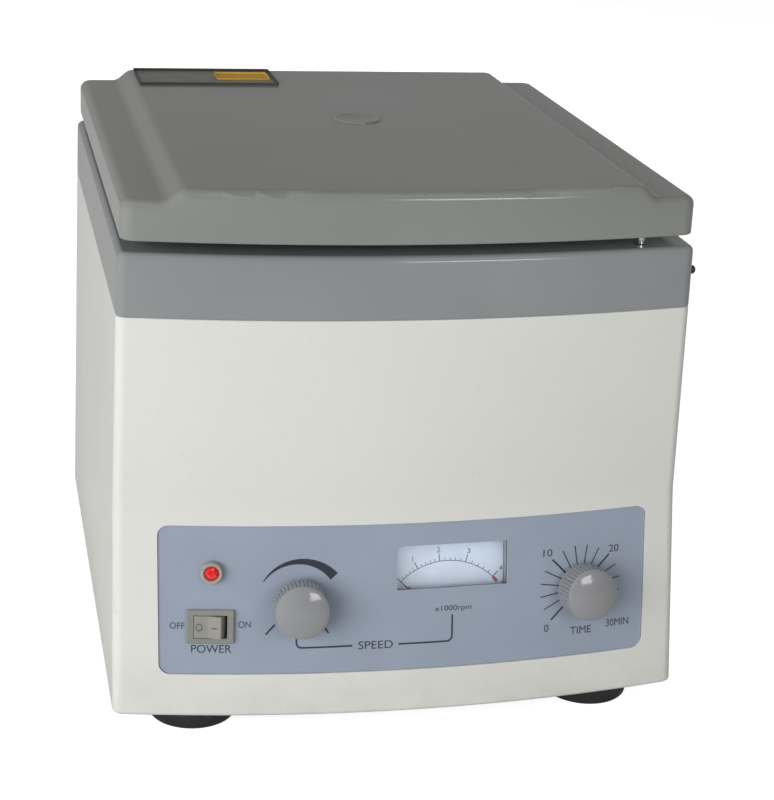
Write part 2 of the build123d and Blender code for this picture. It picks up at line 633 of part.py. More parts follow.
def switch_rocker():
    """Rocker whose pressed half lies level with the bezel. It is shown with its left end in."""
    throw = math.radians(ROCKER_THROW)
    flush, end = 1.2 - ROCKER_PIVOT, WELL_HALF[0] - 0.25
    tip = (end * math.cos(throw) - flush * math.sin(throw), end * math.sin(throw) + flush * math.cos(throw))
    heel = (end * math.cos(throw), end * math.sin(throw))
    half = [(0, tip[1] - tip[0] * math.tan(throw)), tip, heel, (5, -4)]
    side = make_face(Polyline(*half, *[(-x, z) for x, z in half[:0:-1]], close=True))
    side = fillet(side.vertices().filter_by(lambda v: v.Y > 5 and abs(v.X) > 2), 0.5)
    rocker = extrude(Plane.XZ * side, WELL_HALF[1] - 0.4, both=True)
    axle = Rot(90, 0, 0) * Cylinder(1.2, 2 * WELL_HALF[1] - 0.4)
    return panel_place(*SWITCH_AT, ROCKER_PIVOT) * Rot(0, -ROCKER_THROW, 0) * (rocker + axle)


def lamp_bezel():
    ring = turned((3.9, -1), (6.1, -1), (6.1, 0.5), (5.7, 3.0), (5.3, 3.6), (4.6, 3.7), (3.9, 3.1))
    sleeve = turned((3.9, -1), (3.9, -14), (4.2, -14), (4.2, -1))
    return panel_place(*LAMP_AT) * (ring + sleeve)


def lamp_lens():
    lens = turned((0, -10), (3.8, -10), (3.8, 2.6), (3.4, 3.6), (2.2, 4.5), (0, 4.9))
    return panel_place(*LAMP_AT) * lens


METER_FRONT = -4.5      # the meter's front edge, behind the wall
METER_X = 33.0
METER_Y = (-46.0, 16.0)
METER_D = 26.0


def meter_case():
    y1, y2 = METER_Y
    tray = block((-METER_X, METER_X), METER_Y, (METER_FRONT - METER_D, METER_FRONT))
    tray -= block((1.6 - METER_X, METER_X - 1.6), (y1 + 1.6, y2 - 1.6),
                  (METER_FRONT - METER_D + 1.6, METER_FRONT + 1))
    return panel_place(*METER_AT) * tray


def meter_pane():
    y1, y2 = METER_Y
    pane = block((1.8 - METER_X, METER_X - 1.8), (y1 + 1.8, y2 - 1.8), (METER_FRONT - 1.4, METER_FRONT - 0.1))
    return panel_place(*METER_AT) * pane


def meter_scale():
    x, y = METER_PIVOT
    plate = block((2.0 - METER_X, METER_X - 2.0), (METER_Y[0] + 19, METER_Y[1] - 2.0),
                  (METER_FRONT - 8.0, METER_FRONT - 7.0))
    plate -= Pos(x, y, METER_FRONT - 7.5) * Cylinder(8, 4)
    return panel_place(*METER_AT) * plate


def meter_movement():
    """Magnet and coil block behind the scale, bored for the needle's staff."""
    x, y = METER_PIVOT
    block_form = rod(7, METER_FRONT - METER_D + 1.6, METER_FRONT - 8.4)
    block_form += Pos(0, 0, METER_FRONT - 17) * Box(24, 14, 12)
    block_form -= rod(0.6 + RUNNING, METER_FRONT - 16, METER_FRONT)
    return panel_place(*METER_AT) * Pos(x, y, 0) * block_form


def meter_needle():
    """Pointer blade, hub and balance tail on a thin staff, at rest on the zero mark."""
    x, y = METER_PIVOT
    blade = make_face(Polyline((-0.55, 0), (0.55, 0), (0.3, NEEDLE_L), (-0.3, NEEDLE_L), close=True))
    tail = make_face(Polyline((-1.0, -7), (1.0, -7), (0.8, 0), (-0.8, 0), close=True))
    pointer = extrude(blade, 0.5) + extrude(tail, 0.5)
    pointer += rod(2.4, -0.4, 1.2)
    pointer += rod(0.6, -8.5, 1.6)
    return panel_place(*METER_AT) * Pos(x, y, METER_FRONT - 4.5) * Rot(0, 0, NEEDLE_REST) * pointer


# ---------------------------------------------------------------- electrics on the base plate
def board_standoffs():
    post = extrude(RegularPolygon(3.2, 6), 10) + rod(1.3, 10, 13.5)
    return [Pos(x, y, FOOT_H + 2) * post for x, y in BOARD_HOLES]


def control_board():
    """Circuit board with its capacitors, choke and terminal block."""
    z = FOOT_H + 12
    y0 = BOARD_Y
    board = block((-143, -79), (y0 - 52, y0 + 52), (z, z + 1.6))
    for x, y in BOARD_HOLES:
        board -= Pos(x, y, z) * Cylinder(1.5, 6)
    for y in (-30, -12):
        board += Pos(-128, y0 + y, 0) * rod(7, z + 1.6, z + 24)
    board += Pos(-98, y0 - 22, 0) * (rod(11, z + 1.6, z + 11) - rod(5, z + 1.6, z + 12))
    board += block((-133, -101), (y0 + 36, y0 + 46), (z + 1.6, z + 12))
    for x in range(-129, -102, 6):
        board -= Pos(x, y0 + 41, z + 12) * Cylinder(1.6, 8)
    return board


def heat_sink():
    z = FOOT_H + 13.6
    y0 = BOARD_Y + 10
    sink = block((-134, -92), (y0 - 14, y0 + 10), (z, z + 4))
    for step in range(6):
        x = -133.5 + step * 8.1
        sink += block((x, x + 1.8), (y0 - 14, y0 + 10), (z + 3, z + 24))
    return sink


def transformer():
    """Laminated core on end, with its wound bobbin and foot frame."""
    z, x0, y0 = FOOT_H + 2, 112.0, ROTOR_Y + 20
    core = block((x0 - 25, x0 + 25), (y0 - 14, y0 + 14), (z + 2, z + 44))
    coil = block((x0 - 15, x0 + 15), (y0 - 24, y0 + 24), (z + 11, z + 35))
    coil = fillet(coil.edges().filter_by(Axis.Z), 5)
    frame = block((x0 - 34, x0 + 34), (y0 - 12, y0 + 12), (z, z + 2))
    for side in (-1, 1):
        frame -= Pos(x0 + side * 30, y0, z) * Cylinder(2.2, 8)
    return core + coil + frame


def power_inlet():
    """Appliance inlet: screw flange, shrouded well and three flat blades."""
    flange = Pos(0, 0, 1.25) * Box(50, 24, 2.5)
    flange = fillet(flange.edges().filter_by(Axis.Z), 6)
    can = Pos(0, 0, -9) * Box(27.4, 20.4, 18.2)
    profile = make_face(Polyline((-12.2, -8.4), (12.2, -8.4), (12.2, 3.6), (7.6, 8.2), (-7.6, 8.2), (-12.2, 3.6),
                                 close=True))
    well = Pos(0, 0, -15) * extrude(profile, 20)
    body = flange + can - well
    for side in (-1, 1):
        body -= Pos(side * 20, 0, 0) * Cylinder(1.7, 10)
    for x, y in ((-7, -2), (7, -2), (0, 2)):
        body += Pos(x, y, -15.5) * Box(2.0, 4.0, 14, align=(Align.CENTER, Align.CENTER, Align.MIN))
    for x in (-7, 0, 7):
        body += Pos(x, 0, -21) * Box(0.8, 6.3, 8)
    return back_place(*INLET_AT) * body


def back_place(x, z):
    """Plane on the back wall: local x to the viewer's right from behind, y up, z outwards."""
    return Plane(origin=(x, BACK_Y, z), x_dir=(-1, 0, 0), z_dir=(0, 1, 0))


def inlet_screws():
    head = turned((0, 2.5), (3.1, 2.5), (2.9, 3.7), (1.6, 4.3), (0, 4.3)) + rod(1.5, -5, 2.5)
    return [back_place(*INLET_AT) * Pos(side * 20, 0, 0) * head for side in (-1, 1)]


def fuse_holder():
    holder = turned((0, -24), (5.5, -24), (5.5, -4), (6.0, -4), (6.0, 0), (8.5, 0), (8.5, 2.0), (7.2, 2.4),
                    (6.8, 5.6), (6.0, 6.0), (0, 6.0))
    holder -= Pos(0, 0, 6) * Box(9, 1.4, 2.4)
    holder += Pos(0, 0, -26) * Box(5, 0.8, 6)
    return back_place(*FUSE_AT) * holder


# ---------------------------------------------------------------- write every node
NODES = {
    "lower_housing": lower_housing,
    "upper_housing": upper_housing,
    "base_plate": base_plate,
    "rubber_feet": rubber_feet,
    "foot_screws": foot_screws,
    "base_screws": base_screws,
    "lid_shell": lid_shell,
    "lid_liner": lid_liner,
    "lid_gasket": lid_gasket,
    "sight_plug": sight_plug,
    "case_hinge_leaves": case_leaves,
    "lid_hinge_leaves": lid_leaves,
    "hinge_pins": hinge_pins,
    "case_hinge_screws": lambda: hinge_screws(BACK_Y + 1.5, DECK_Z - 17),
    "lid_hinge_screws": lambda: hinge_screws(FRONT_Y + LID_DEPTH + 1.5, LID_BOTTOM + 8.5),
    "latch_striker": latch_striker,
    "latch_slide": latch_slide,
    "latch_body": latch_body,
    "rotor_chamber": rotor_chamber,
    "chamber_boot": chamber_boot,
    "rotor_body": rotor_body,
    "rotor_nut": rotor_nut,
    "motor_shaft": motor_shaft,
    "motor_housing": motor_housing,
    "motor_top_cap": lambda: motor_cap(MOTOR_HIGH - 10, 1),
    "motor_bottom_cap": lambda: motor_cap(MOTOR_LOW + 12, -1),
    "motor_plate": motor_plate,
    "motor_dampers": dampers,
    "motor_posts": motor_posts,
    "control_panel": control_panel,
    "speed_knob": lambda: knob(SPEED_AT),
    "speed_knob_shaft": lambda: control_shaft(SPEED_AT),
    "speed_potentiometer": speed_potentiometer,
    "timer_knob": lambda: knob(TIMER_AT),
    "timer_knob_shaft": lambda: control_shaft(TIMER_AT),
    "timer_unit": timer_unit,
    "bush_nuts": bush_nuts,
    "switch_body": switch_body,
    "switch_rocker": switch_rocker,
    "lamp_bezel": lamp_bezel,
    "lamp_lens": lamp_lens,
    "meter_case": meter_case,
    "meter_pane": meter_pane,
    "meter_scale": meter_scale,
    "meter_movement": meter_movement,
    "meter_needle": meter_needle,
    "control_board": control_board,
    "board_standoffs": board_standoffs,
    "heat_sink": heat_sink,
    "transformer": transformer,
    "power_inlet": power_inlet,
    "inlet_screws": inlet_screws,
    "fuse_holder": fuse_holder,
}

# The rotor is loaded in balanced pairs, so a pair of opposite sleeves is one node
for index in range(TUBES // 2):
    pair = (index, index + TUBES // 2)
    NODES[f"tube_sleeve_pair_{index + 1}"] = lambda pair=pair: [tube_sleeve(i) for i in pair]

for node, make in NODES.items():
    export(node, make())
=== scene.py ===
import json
import math

import bpy
from mathutils import Matrix, Vector


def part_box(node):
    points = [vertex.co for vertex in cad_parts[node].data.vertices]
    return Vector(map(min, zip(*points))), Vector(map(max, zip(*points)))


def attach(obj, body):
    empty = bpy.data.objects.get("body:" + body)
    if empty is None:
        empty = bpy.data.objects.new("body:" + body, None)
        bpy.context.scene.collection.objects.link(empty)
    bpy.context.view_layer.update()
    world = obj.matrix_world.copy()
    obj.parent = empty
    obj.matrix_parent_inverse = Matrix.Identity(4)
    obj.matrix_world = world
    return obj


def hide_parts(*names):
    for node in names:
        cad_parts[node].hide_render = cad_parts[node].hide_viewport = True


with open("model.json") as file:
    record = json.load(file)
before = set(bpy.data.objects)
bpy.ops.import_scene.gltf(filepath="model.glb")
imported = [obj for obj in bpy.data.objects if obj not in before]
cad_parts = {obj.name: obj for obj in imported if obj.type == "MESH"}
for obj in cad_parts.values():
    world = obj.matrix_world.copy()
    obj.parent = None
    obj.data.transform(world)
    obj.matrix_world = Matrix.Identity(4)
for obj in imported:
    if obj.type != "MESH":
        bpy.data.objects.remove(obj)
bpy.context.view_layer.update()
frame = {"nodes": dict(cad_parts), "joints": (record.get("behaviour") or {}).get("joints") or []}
nodes = frame["nodes"]

# ---------------------------------------------------------------- the photographer's table
# A pale table with no edge, soft boxes in front, beside and behind, a strip of light overhead, and
# the camera half a metre up and a little to the left. None of it belongs to the machine.
CAMERA_AT = Vector((-0.2260, -1.0953, 0.5209))
CAMERA_YAW = math.radians(12.73)
CAMERA_DOWN = math.radians(19.47)
CAMERA_ROLL = math.radians(2.71)
CAMERA_LENS = 88.9
CAMERA_FILM = 36.0
TABLE_SIZE = 40.0
STUDIO_LIGHT = 0.20
WHITE_LIGHT = 1.0
TABLE_GLOW = 0.84
GLOSS_SHARE = 0.10


def lit_background(tree, plain, shown):
    """Strength socket: plain as light on things, shown to the eye and through glass, a share in gloss."""
    path = tree.nodes.new("ShaderNodeLightPath")
    seen = tree.nodes.new("ShaderNodeMath")
    seen.operation = "MAXIMUM"
    tree.links.new(path.outputs["Is Camera Ray"], seen.inputs[0])
    tree.links.new(path.outputs["Is Transmission Ray"], seen.inputs[1])
    strength = tree.nodes.new("ShaderNodeMapRange")
    strength.inputs["To Min"].default_value = plain
    strength.inputs["To Max"].default_value = shown
    tree.links.new(seen.outputs[0], strength.inputs["Value"])
    gloss = tree.nodes.new("ShaderNodeMath")
    gloss.operation = "MULTIPLY_ADD"
    gloss.inputs[1].default_value = (shown - plain) * GLOSS_SHARE
    tree.links.new(path.outputs["Is Glossy Ray"], gloss.inputs[0])
    tree.links.new(strength.outputs[0], gloss.inputs[2])
    return gloss.outputs[0]


world = bpy.data.worlds.new("studio")
bpy.context.scene.world = world
world.use_nodes = True
sky = world.node_tree.nodes["Background"]
sky.inputs["Color"].default_value = (1.0, 0.995, 0.985, 1.0)
lit = lit_background(world.node_tree, STUDIO_LIGHT, WHITE_LIGHT)
world.node_tree.links.new(lit, sky.inputs["Strength"])

bpy.ops.mesh.primitive_plane_add(size=TABLE_SIZE)
table = bpy.context.active_object
table.name = "table"
table_finish = bpy.data.materials.new("table_finish")
table_finish.use_nodes = True
tree = table_finish.node_tree
shader = tree.nodes["Principled BSDF"]
shader.inputs["Base Color"].default_value = (0.62, 0.62, 0.61, 1.0)
shader.inputs["Roughness"].default_value = 0.9
shader.inputs["Specular IOR Level"].default_value = 0.1
glow = tree.nodes.new("ShaderNodeEmission")
tree.links.new(lit_background(tree, 0.0, TABLE_GLOW), glow.inputs["Strength"])
both = tree.nodes.new("ShaderNodeAddShader")
tree.links.new(shader.outputs[0], both.inputs[0])
tree.links.new(glow.outputs[0], both.inputs[1])
tree.links.new(both.outputs[0], tree.nodes["Material Output"].inputs["Surface"])
table.data.materials.append(table_finish)


LIT_POINT = Vector((0.0, 0.0, 0.15))


def soft_box(name, place, width, height, watts, mirrored=True):
    """A rectangular lamp at place, in metres, turned towards the machine, seen in its gloss or not."""
    turn = (LIT_POINT - Vector(place)).to_track_quat("-Z", "Y").to_euler()
    bpy.ops.object.light_add(type="AREA", location=place, rotation=turn)
    lamp = bpy.context.active_object
    lamp.name = name
    lamp.data.shape = "RECTANGLE"
    lamp.data.size = width
    lamp.data.size_y = height
    lamp.data.energy = watts
    lamp.visible_glossy = mirrored


soft_box("soft_box_front", (-1.9, -1.9, 0.75), width=2.2, height=1.4, watts=55.0, mirrored=False)
soft_box("soft_box_side", (-2.4, 0.3, 0.9), width=1.2, height=1.0, watts=14.0, mirrored=False)
soft_box("soft_box_back", (1.6, 1.9, 0.40), width=2.2, height=1.0, watts=30.0, mirrored=False)
soft_box("strip_light", (0.0, -0.8, 1.5), width=1.8, height=0.07, watts=1.0)
soft_box("soft_box_window", (0.35, -1.05, 0.50), width=0.34, height=0.26, watts=1.6)

ahead = Vector((math.sin(CAMERA_YAW) * math.cos(CAMERA_DOWN),
                math.cos(CAMERA_YAW) * math.cos(CAMERA_DOWN), -math.sin(CAMERA_DOWN)))
level = Vector((math.cos(CAMERA_YAW), -math.sin(CAMERA_YAW), 0.0))
upward = level.cross(ahead)
right = math.cos(CAMERA_ROLL) * level + math.sin(CAMERA_ROLL) * upward
top = math.cos(CAMERA_ROLL) * upward - math.sin(CAMERA_ROLL) * level
bpy.ops.object.camera_add()
camera = bpy.context.active_object
camera.matrix_world = Matrix.Translation(CAMERA_AT) @ Matrix((right, top, -ahead)).transposed().to_4x4()
camera.data.lens = CAMERA_LENS
camera.data.sensor_width = CAMERA_FILM
camera.data.clip_end = 60.0
bpy.context.scene.camera = camera
bpy.context.scene.view_settings.view_transform = "Standard"

# ---------------------------------------------------------------- lower housing
# The tall off-white shell, one moulding with rounded corners, sprayed in gloss enamel. It takes
# a fine orange peel from the gun, a little yellowing, and dust and scuffs near the table.
MM = 0.001


def new_finish(name):
    """An empty finish: the material and its node tree."""
    finish = bpy.data.materials.new(name)
    finish.use_nodes = True
    return finish, finish.node_tree


def object_place(tree, stretch=(1.0, 1.0, 1.0), centre=(0.0, 0.0, 0.0)):
    """Coordinates on the piece, in metres, moved to centre and then stretched."""
    where = tree.nodes.new("ShaderNodeTexCoord")
    moved = tree.nodes.new("ShaderNodeMapping")
    moved.inputs["Location"].default_value = [-c * s for c, s in zip(centre, stretch)]
    moved.inputs["Scale"].default_value = stretch
    tree.links.new(where.outputs["Object"], moved.inputs["Vector"])
    return moved.outputs["Vector"]


def grain(tree, place, scale, detail=2.0, roughness=0.5):
    """A noise pattern, as a value from 0 to 1."""
    noise = tree.nodes.new("ShaderNodeTexNoise")
    noise.inputs["Scale"].default_value = scale
    noise.inputs["Detail"].default_value = detail
    noise.inputs["Roughness"].default_value = roughness
    tree.links.new(place, noise.inputs["Vector"])
    return noise.outputs["Fac"]


def ramp(tree, value, low, high, out_low=0.0, out_high=1.0):
    """value, stretched from low..high to out_low..out_high and held there."""
    spread = tree.nodes.new("ShaderNodeMapRange")
    spread.inputs["From Min"].default_value = low
    spread.inputs["From Max"].default_value = high
    spread.inputs["To Min"].default_value = out_low
    spread.inputs["To Max"].default_value = out_high
    tree.links.new(value, spread.inputs["Value"])
    return spread.outputs[0]


def tinted(tree, share, base, other):
    """Colour that goes from base to other as share goes from 0 to 1."""
    mix = tree.nodes.new("ShaderNodeMix")
    mix.data_type = "RGBA"
    for socket, colour in ((mix.inputs[6], base), (mix.inputs[7], other)):
        if isinstance(colour, tuple):
            socket.default_value = (*colour, 1.0)
        else:
            tree.links.new(colour, socket)
    tree.links.new(share, mix.inputs[0])
    return mix.outputs[2]


def times(tree, one, two):
    """Product of two values, each a socket or a number."""
    product = tree.nodes.new("ShaderNodeMath")
    product.operation = "MULTIPLY"
    for socket, value in zip(product.inputs, (one, two)):
        if isinstance(value, float):
            socket.default_value = value
        else:
            tree.links.new(value, socket)
    return product.outputs[0]


def relief(tree, height, depth, under=None):
    """Bump of a real depth in metres, laid over another bump if one is given."""
    bump = tree.nodes.new("ShaderNodeBump")
    bump.inputs["Strength"].default_value = 1.0
    bump.inputs["Distance"].default_value = depth
    tree.links.new(height, bump.inputs["Height"])
    if under:
        tree.links.new(under, bump.inputs["Normal"])
    return bump.outputs["Normal"]


def rubbed_edges(tree, radius, low=0.02, high=0.12):
    """Near 1 on the sharp outer edges that hands and cloths rub, 0 on flat faces."""
    bevel = tree.nodes.new("ShaderNodeBevel")
    bevel.samples = 4
    bevel.inputs["Radius"].default_value = radius
    face = tree.nodes.new("ShaderNodeNewGeometry")
    aligned = tree.nodes.new("ShaderNodeVectorMath")
    aligned.operation = "DOT_PRODUCT"
    tree.links.new(bevel.outputs["Normal"], aligned.inputs[0])
    tree.links.new(face.outputs["Normal"], aligned.inputs[1])
    return ramp(tree, aligned.outputs["Value"], 1.0 - low, 1.0 - high)


RUBBED_GLOSS = 0.6 * MM
RUBBED_SATIN = 0.4 * MM


def dress(finish, *names):
    """Gives a finish to whole CAD nodes or to new pieces."""
    for name in names:
        piece = nodes[name] if isinstance(name, str) else name
        piece.data.materials.clear()
        piece.data.materials.append(finish)


def gloss_finish(name, colour, other, roughness, peel, dirt=None, dirt_top=0.03, coat=0.0):
    """Sprayed or moulded gloss: faint mottling, orange peel, hairlines, rubbed edges, dirt low down."""
    finish, tree = new_finish(name)
    shader = tree.nodes["Principled BSDF"]
    place = object_place(tree)
    clouds = grain(tree, place, 7.0, 3.0)
    tone = tinted(tree, ramp(tree, clouds, 0.38, 0.64), colour, other)
    specks = ramp(tree, grain(tree, place, 900.0, 1.0), 0.70, 0.76, 0.0, 0.35)
    tone = tinted(tree, specks, tone, tuple(c * 0.6 for c in colour))
    pale = tuple(min(1.0, c * 1.25 + 0.03) for c in colour)
    uneven = ramp(tree, grain(tree, place, 60.0, 3.0), 0.42, 0.62)
    worn = times(tree, rubbed_edges(tree, RUBBED_GLOSS), uneven)
    tone = tinted(tree, times(tree, worn, 0.5), tone, pale)
    if dirt:
        height = tree.nodes.new("ShaderNodeSeparateXYZ")
        tree.links.new(place, height.inputs[0])
        near_table = ramp(tree, height.outputs["Z"], dirt_top, 0.0)
        patches = ramp(tree, grain(tree, place, 35.0, 5.0, 0.65), 0.35, 0.75)
        tone = tinted(tree, times(tree, near_table, patches), tone, dirt)
    tree.links.new(tone, shader.inputs["Base Color"])
    along = object_place(tree, (9.0, 260.0, 160.0))
    hairlines = ramp(tree, grain(tree, along, 3.0, 4.0, 0.6), 0.58, 0.74)
    smears = ramp(tree, grain(tree, place, 11.0, 4.0, 0.6), 0.3, 0.75, roughness * 0.92, roughness * 1.2)
    scuffed = tree.nodes.new("ShaderNodeMath")
    scuffed.operation = "MULTIPLY_ADD"
    scuffed.inputs[1].default_value = 0.10
    tree.links.new(hairlines, scuffed.inputs[0])
    tree.links.new(smears, scuffed.inputs[2])
    tree.links.new(scuffed.outputs[0], shader.inputs["Roughness"])
    shader.inputs["Coat Weight"].default_value = coat
    shader.inputs["Coat Roughness"].default_value = 0.06
    wave = relief(tree, grain(tree, place, 90.0, 1.0), peel)
    fine = relief(tree, grain(tree, place, 700.0, 2.0), peel * 0.12, wave)
    tree.links.new(fine, shader.inputs["Normal"])
    return finish


housing_finish = gloss_finish("housing_enamel", (0.735, 0.735, 0.700), (0.718, 0.718, 0.680), 0.30,
                              0.05 * MM, dirt=(0.58, 0.565, 0.52), dirt_top=0.045, coat=0.25)
dress(housing_finish, "lower_housing")

# ---------------------------------------------------------------- base plate, feet and their screws
# The case stands on a dark enamelled steel plate, let in from below and held by four screws.
# Each foot is a tapered black rubber moulding on a screw of its own.
def satin_finish(name, colour, roughness, speckle=0.5, metal=0.0, relief_depth=0.02 * MM, mottle=0.18):
    """Plain satin surface of plastic, rubber, enamel or plated steel, with handling marks."""
    finish, tree = new_finish(name)
    shader = tree.nodes["Principled BSDF"]
    shader.inputs["Metallic"].default_value = metal
    place = object_place(tree)
    lighter = tuple(min(1.0, c * (1.0 + mottle) + 0.01 * mottle) for c in colour)
    tone = tinted(tree, ramp(tree, grain(tree, place, 40.0, 4.0), 0.35, 0.7), colour, lighter)
    dust = ramp(tree, grain(tree, place, 420.0, 3.0, 0.7), 0.60, 0.74, 0.0, speckle)
    tone = tinted(tree, dust, tone, tuple(c * 0.72 + 0.03 for c in colour))
    tone = tinted(tree, times(tree, rubbed_edges(tree, RUBBED_SATIN), 0.4), tone,
                  tuple(min(1.0, c * 1.5 + 0.05) for c in colour))
    tree.links.new(tone, shader.inputs["Base Color"])
    rough = ramp(tree, grain(tree, place, 90.0, 3.0), 0.3, 0.7, roughness * 0.82, min(1.0, roughness * 1.2))
    tree.links.new(rough, shader.inputs["Roughness"])
    tree.links.new(relief(tree, grain(tree, place, 600.0, 3.0), relief_depth), shader.inputs["Normal"])
    return finish


SAME_PLACE = 1e-6


def turned_piece(name, profile, sides=96):
    """Closed round piece on the Z axis from (radius, height) points, first and last on the axis."""
    bpy.ops.object.select_all(action="DESELECT")
    first_r, first_z = profile[1]
    bpy.ops.mesh.primitive_circle_add(vertices=sides, radius=first_r, location=(0, 0, first_z))
    piece = bpy.context.active_object
    piece.name = name
    bpy.ops.object.transform_apply(location=True)
    bpy.ops.object.mode_set(mode="EDIT")
    bpy.ops.mesh.select_all(action="SELECT")
    for (r0, z0), (r1, z1) in zip(profile[1:], profile[2:-1]):
        bpy.ops.mesh.extrude_region_move(TRANSFORM_OT_translate={"value": (0, 0, z1 - z0)})
        bpy.ops.transform.resize(value=(r1 / r0, r1 / r0, 1.0))
    last_rise = profile[-1][1] - profile[-2][1]
    bpy.ops.mesh.extrude_region_move(TRANSFORM_OT_translate={"value": (0, 0, last_rise)})
    bpy.ops.mesh.merge(type="CENTER")
    bpy.ops.object.mode_set(mode="OBJECT")
    for vertex in piece.data.vertices:
        on_height = abs(vertex.co.z - first_z) < SAME_PLACE
        vertex.select = on_height and abs(vertex.co.xy.length - first_r) < SAME_PLACE
    bpy.ops.object.mode_set(mode="EDIT")
    bpy.ops.mesh.extrude_region_move(TRANSFORM_OT_translate={"value": (0, 0, profile[0][1] - first_z)})
    bpy.ops.mesh.merge(type="CENTER")
    bpy.ops.mesh.select_all(action="SELECT")
    bpy.ops.mesh.normals_make_consistent(inside=False)
    bpy.ops.object.mode_set(mode="OBJECT")
    bpy.ops.object.shade_smooth_by_angle(angle=math.radians(32))
    return piece


def arc_profile(centre, radius, start, end, steps):
    """(radius, height) points along an arc, angles in degrees from the outward direction."""
    angles = [math.radians(start + (end - start) * i / steps) for i in range(steps + 1)]
    return [(centre[0] + radius * math.cos(a), centre[1] + radius * math.sin(a)) for a in angles]


def copies(piece, places):
    """Moves piece to the first of places, given as matrices, and copies it to the others, as one piece."""
    bpy.ops.object.select_all(action="DESELECT")
    twins = []
    for place in places[1:]:
        twin = piece.copy()
        twin.data = piece.data.copy()
        twin.data.transform(place)
        bpy.context.collection.objects.link(twin)
        twins.append(twin)
    piece.data.transform(places[0])
    for twin in [*twins, piece]:
        twin.select_set(True)
    bpy.context.view_layer.objects.active = piece
    if twins:
        bpy.ops.object.join()
    return piece


rubber_finish = satin_finish("black_rubber", (0.018, 0.018, 0.019), 0.62, 0.7)
plate_finish = satin_finish("base_enamel", (0.035, 0.036, 0.038), 0.45, 0.3)
zinc_finish = satin_finish("zinc_plate", (0.60, 0.60, 0.57), 0.33, 0.4, metal=1.0)
dress(plate_finish, "base_plate")
dress(zinc_finish, "foot_screws", "board_standoffs", "motor_posts", "bush_nuts", "hinge_pins")

foot_low, foot_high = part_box("rubber_feet")
FOOT_R = 24.6 * MM
FOOT_H = 10.0 * MM
SOLE_R = 21.5 * MM
HOLE_R = 8.0 * MM
HOLE_H = 4.5 * MM
SOLE_RINGS = 4
RING_START = 2.4 * MM
RING_PITCH = 2.6 * MM
RING_WIDTH = 1.2 * MM
RING_DEPTH = 0.5 * MM
RING_SLANT = 0.25 * MM
foot_corners = [(x, y) for x in (foot_low.x + FOOT_R, foot_high.x - FOOT_R)
                for y in (foot_low.y + FOOT_R, foot_high.y - FOOT_R)]
sole_rings = []
for ring in range(SOLE_RINGS):
    edge = HOLE_R + RING_START + ring * RING_PITCH
    sole_rings += [(edge, 0.0), (edge + RING_SLANT, RING_DEPTH),
                   (edge + RING_WIDTH - RING_SLANT, RING_DEPTH), (edge + RING_WIDTH, 0.0)]
foot = turned_piece("rubber_foot", [
    (0, HOLE_H), (HOLE_R - 0.4 * MM, HOLE_H), (HOLE_R, HOLE_H - 0.5 * MM), (HOLE_R, 0.4 * MM),
    (HOLE_R + 0.4 * MM, 0.0), *sole_rings, (SOLE_R, 0.0), (SOLE_R + 1.1 * MM, 0.25 * MM),
    (SOLE_R + 1.7 * MM, 0.9 * MM), (FOOT_R - 0.35 * MM, 6.4 * MM), (FOOT_R, 7.2 * MM), (FOOT_R, 8.6 * MM),
    (FOOT_R - 0.4 * MM, FOOT_H), (0, FOOT_H)])
copies(foot, [Matrix.Translation((x, y, 0)) for x, y in foot_corners])
dress(rubber_finish, foot)
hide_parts("rubber_feet")
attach(foot, "case")


def cross_screw(name, head_r, head_h, shank_r, shank_l):
    """Pan-head screw on the Z axis with a cross recess; the head's underside is at height 0."""
    screw = turned_piece(name, [
        (0, -shank_l), (shank_r * 0.7, -shank_l), (shank_r, -shank_l + shank_r * 0.6), (shank_r, 0.0),
        (head_r - 0.15 * MM, 0.0), (head_r, 0.15 * MM), (head_r, head_h * 0.45),
        *arc_profile((head_r * 0.55, head_h * 0.42), head_r * 0.45, 8, 80, 5), (0, head_h)], 40)
    bpy.ops.object.select_all(action="DESELECT")
    bpy.ops.mesh.primitive_cube_add(size=1.0, scale=(head_r * 1.15, head_r * 0.28, head_h * 1.2),
                                    location=(0, 0, head_h * 1.05))
    cross = bpy.context.active_object
    bpy.ops.object.duplicate()
    bpy.ops.transform.rotate(value=math.radians(90), orient_axis="Z", center_override=(0, 0, 0))
    for arm in (bpy.context.active_object, cross):
        cut = screw.modifiers.new("recess", "BOOLEAN")
        cut.operation = "DIFFERENCE"
        cut.solver = "EXACT"
        cut.object = arm
        bpy.context.view_layer.objects.active = screw
        bpy.ops.object.modifier_apply(modifier=cut.name)
        bpy.data.objects.remove(arm)
    return screw


# Every screw is given by its head's radius and height, then its shank's radius and length.
BASE_SCREW = (3.2 * MM, 2.0 * MM, 1.5 * MM, 14.0 * MM)
screw_low, screw_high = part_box("base_screws")
head_r, head_h = BASE_SCREW[:2]
base_screw = cross_screw("base_screw", *BASE_SCREW)
copies(base_screw, [Matrix.Translation((x, y, screw_low.z + head_h)) @ Matrix.Rotation(math.pi, 4, "X")
                    for x in (screw_low.x + head_r, screw_high.x - head_r)
                    for y in (screw_low.y + head_r, screw_high.y - head_r)])
dress(zinc_finish, base_screw)
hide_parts("base_screws")
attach(base_screw, "case")

# ---------------------------------------------------------------- deck housing
# The grey upper shell, moulded in high-gloss plastic, sits over the tongue of the lower one and
# carries the rotor chamber. Its surface is polished, with hairline scratches from wiping.
GREY_LIGHT = (0.268, 0.282, 0.290)
GREY_DARK = (0.240, 0.252, 0.256)
deck_finish = gloss_finish("deck_gloss", GREY_LIGHT, GREY_DARK, 0.17, 0.03 * MM, coat=0.3)
dress(deck_finish, "upper_housing")

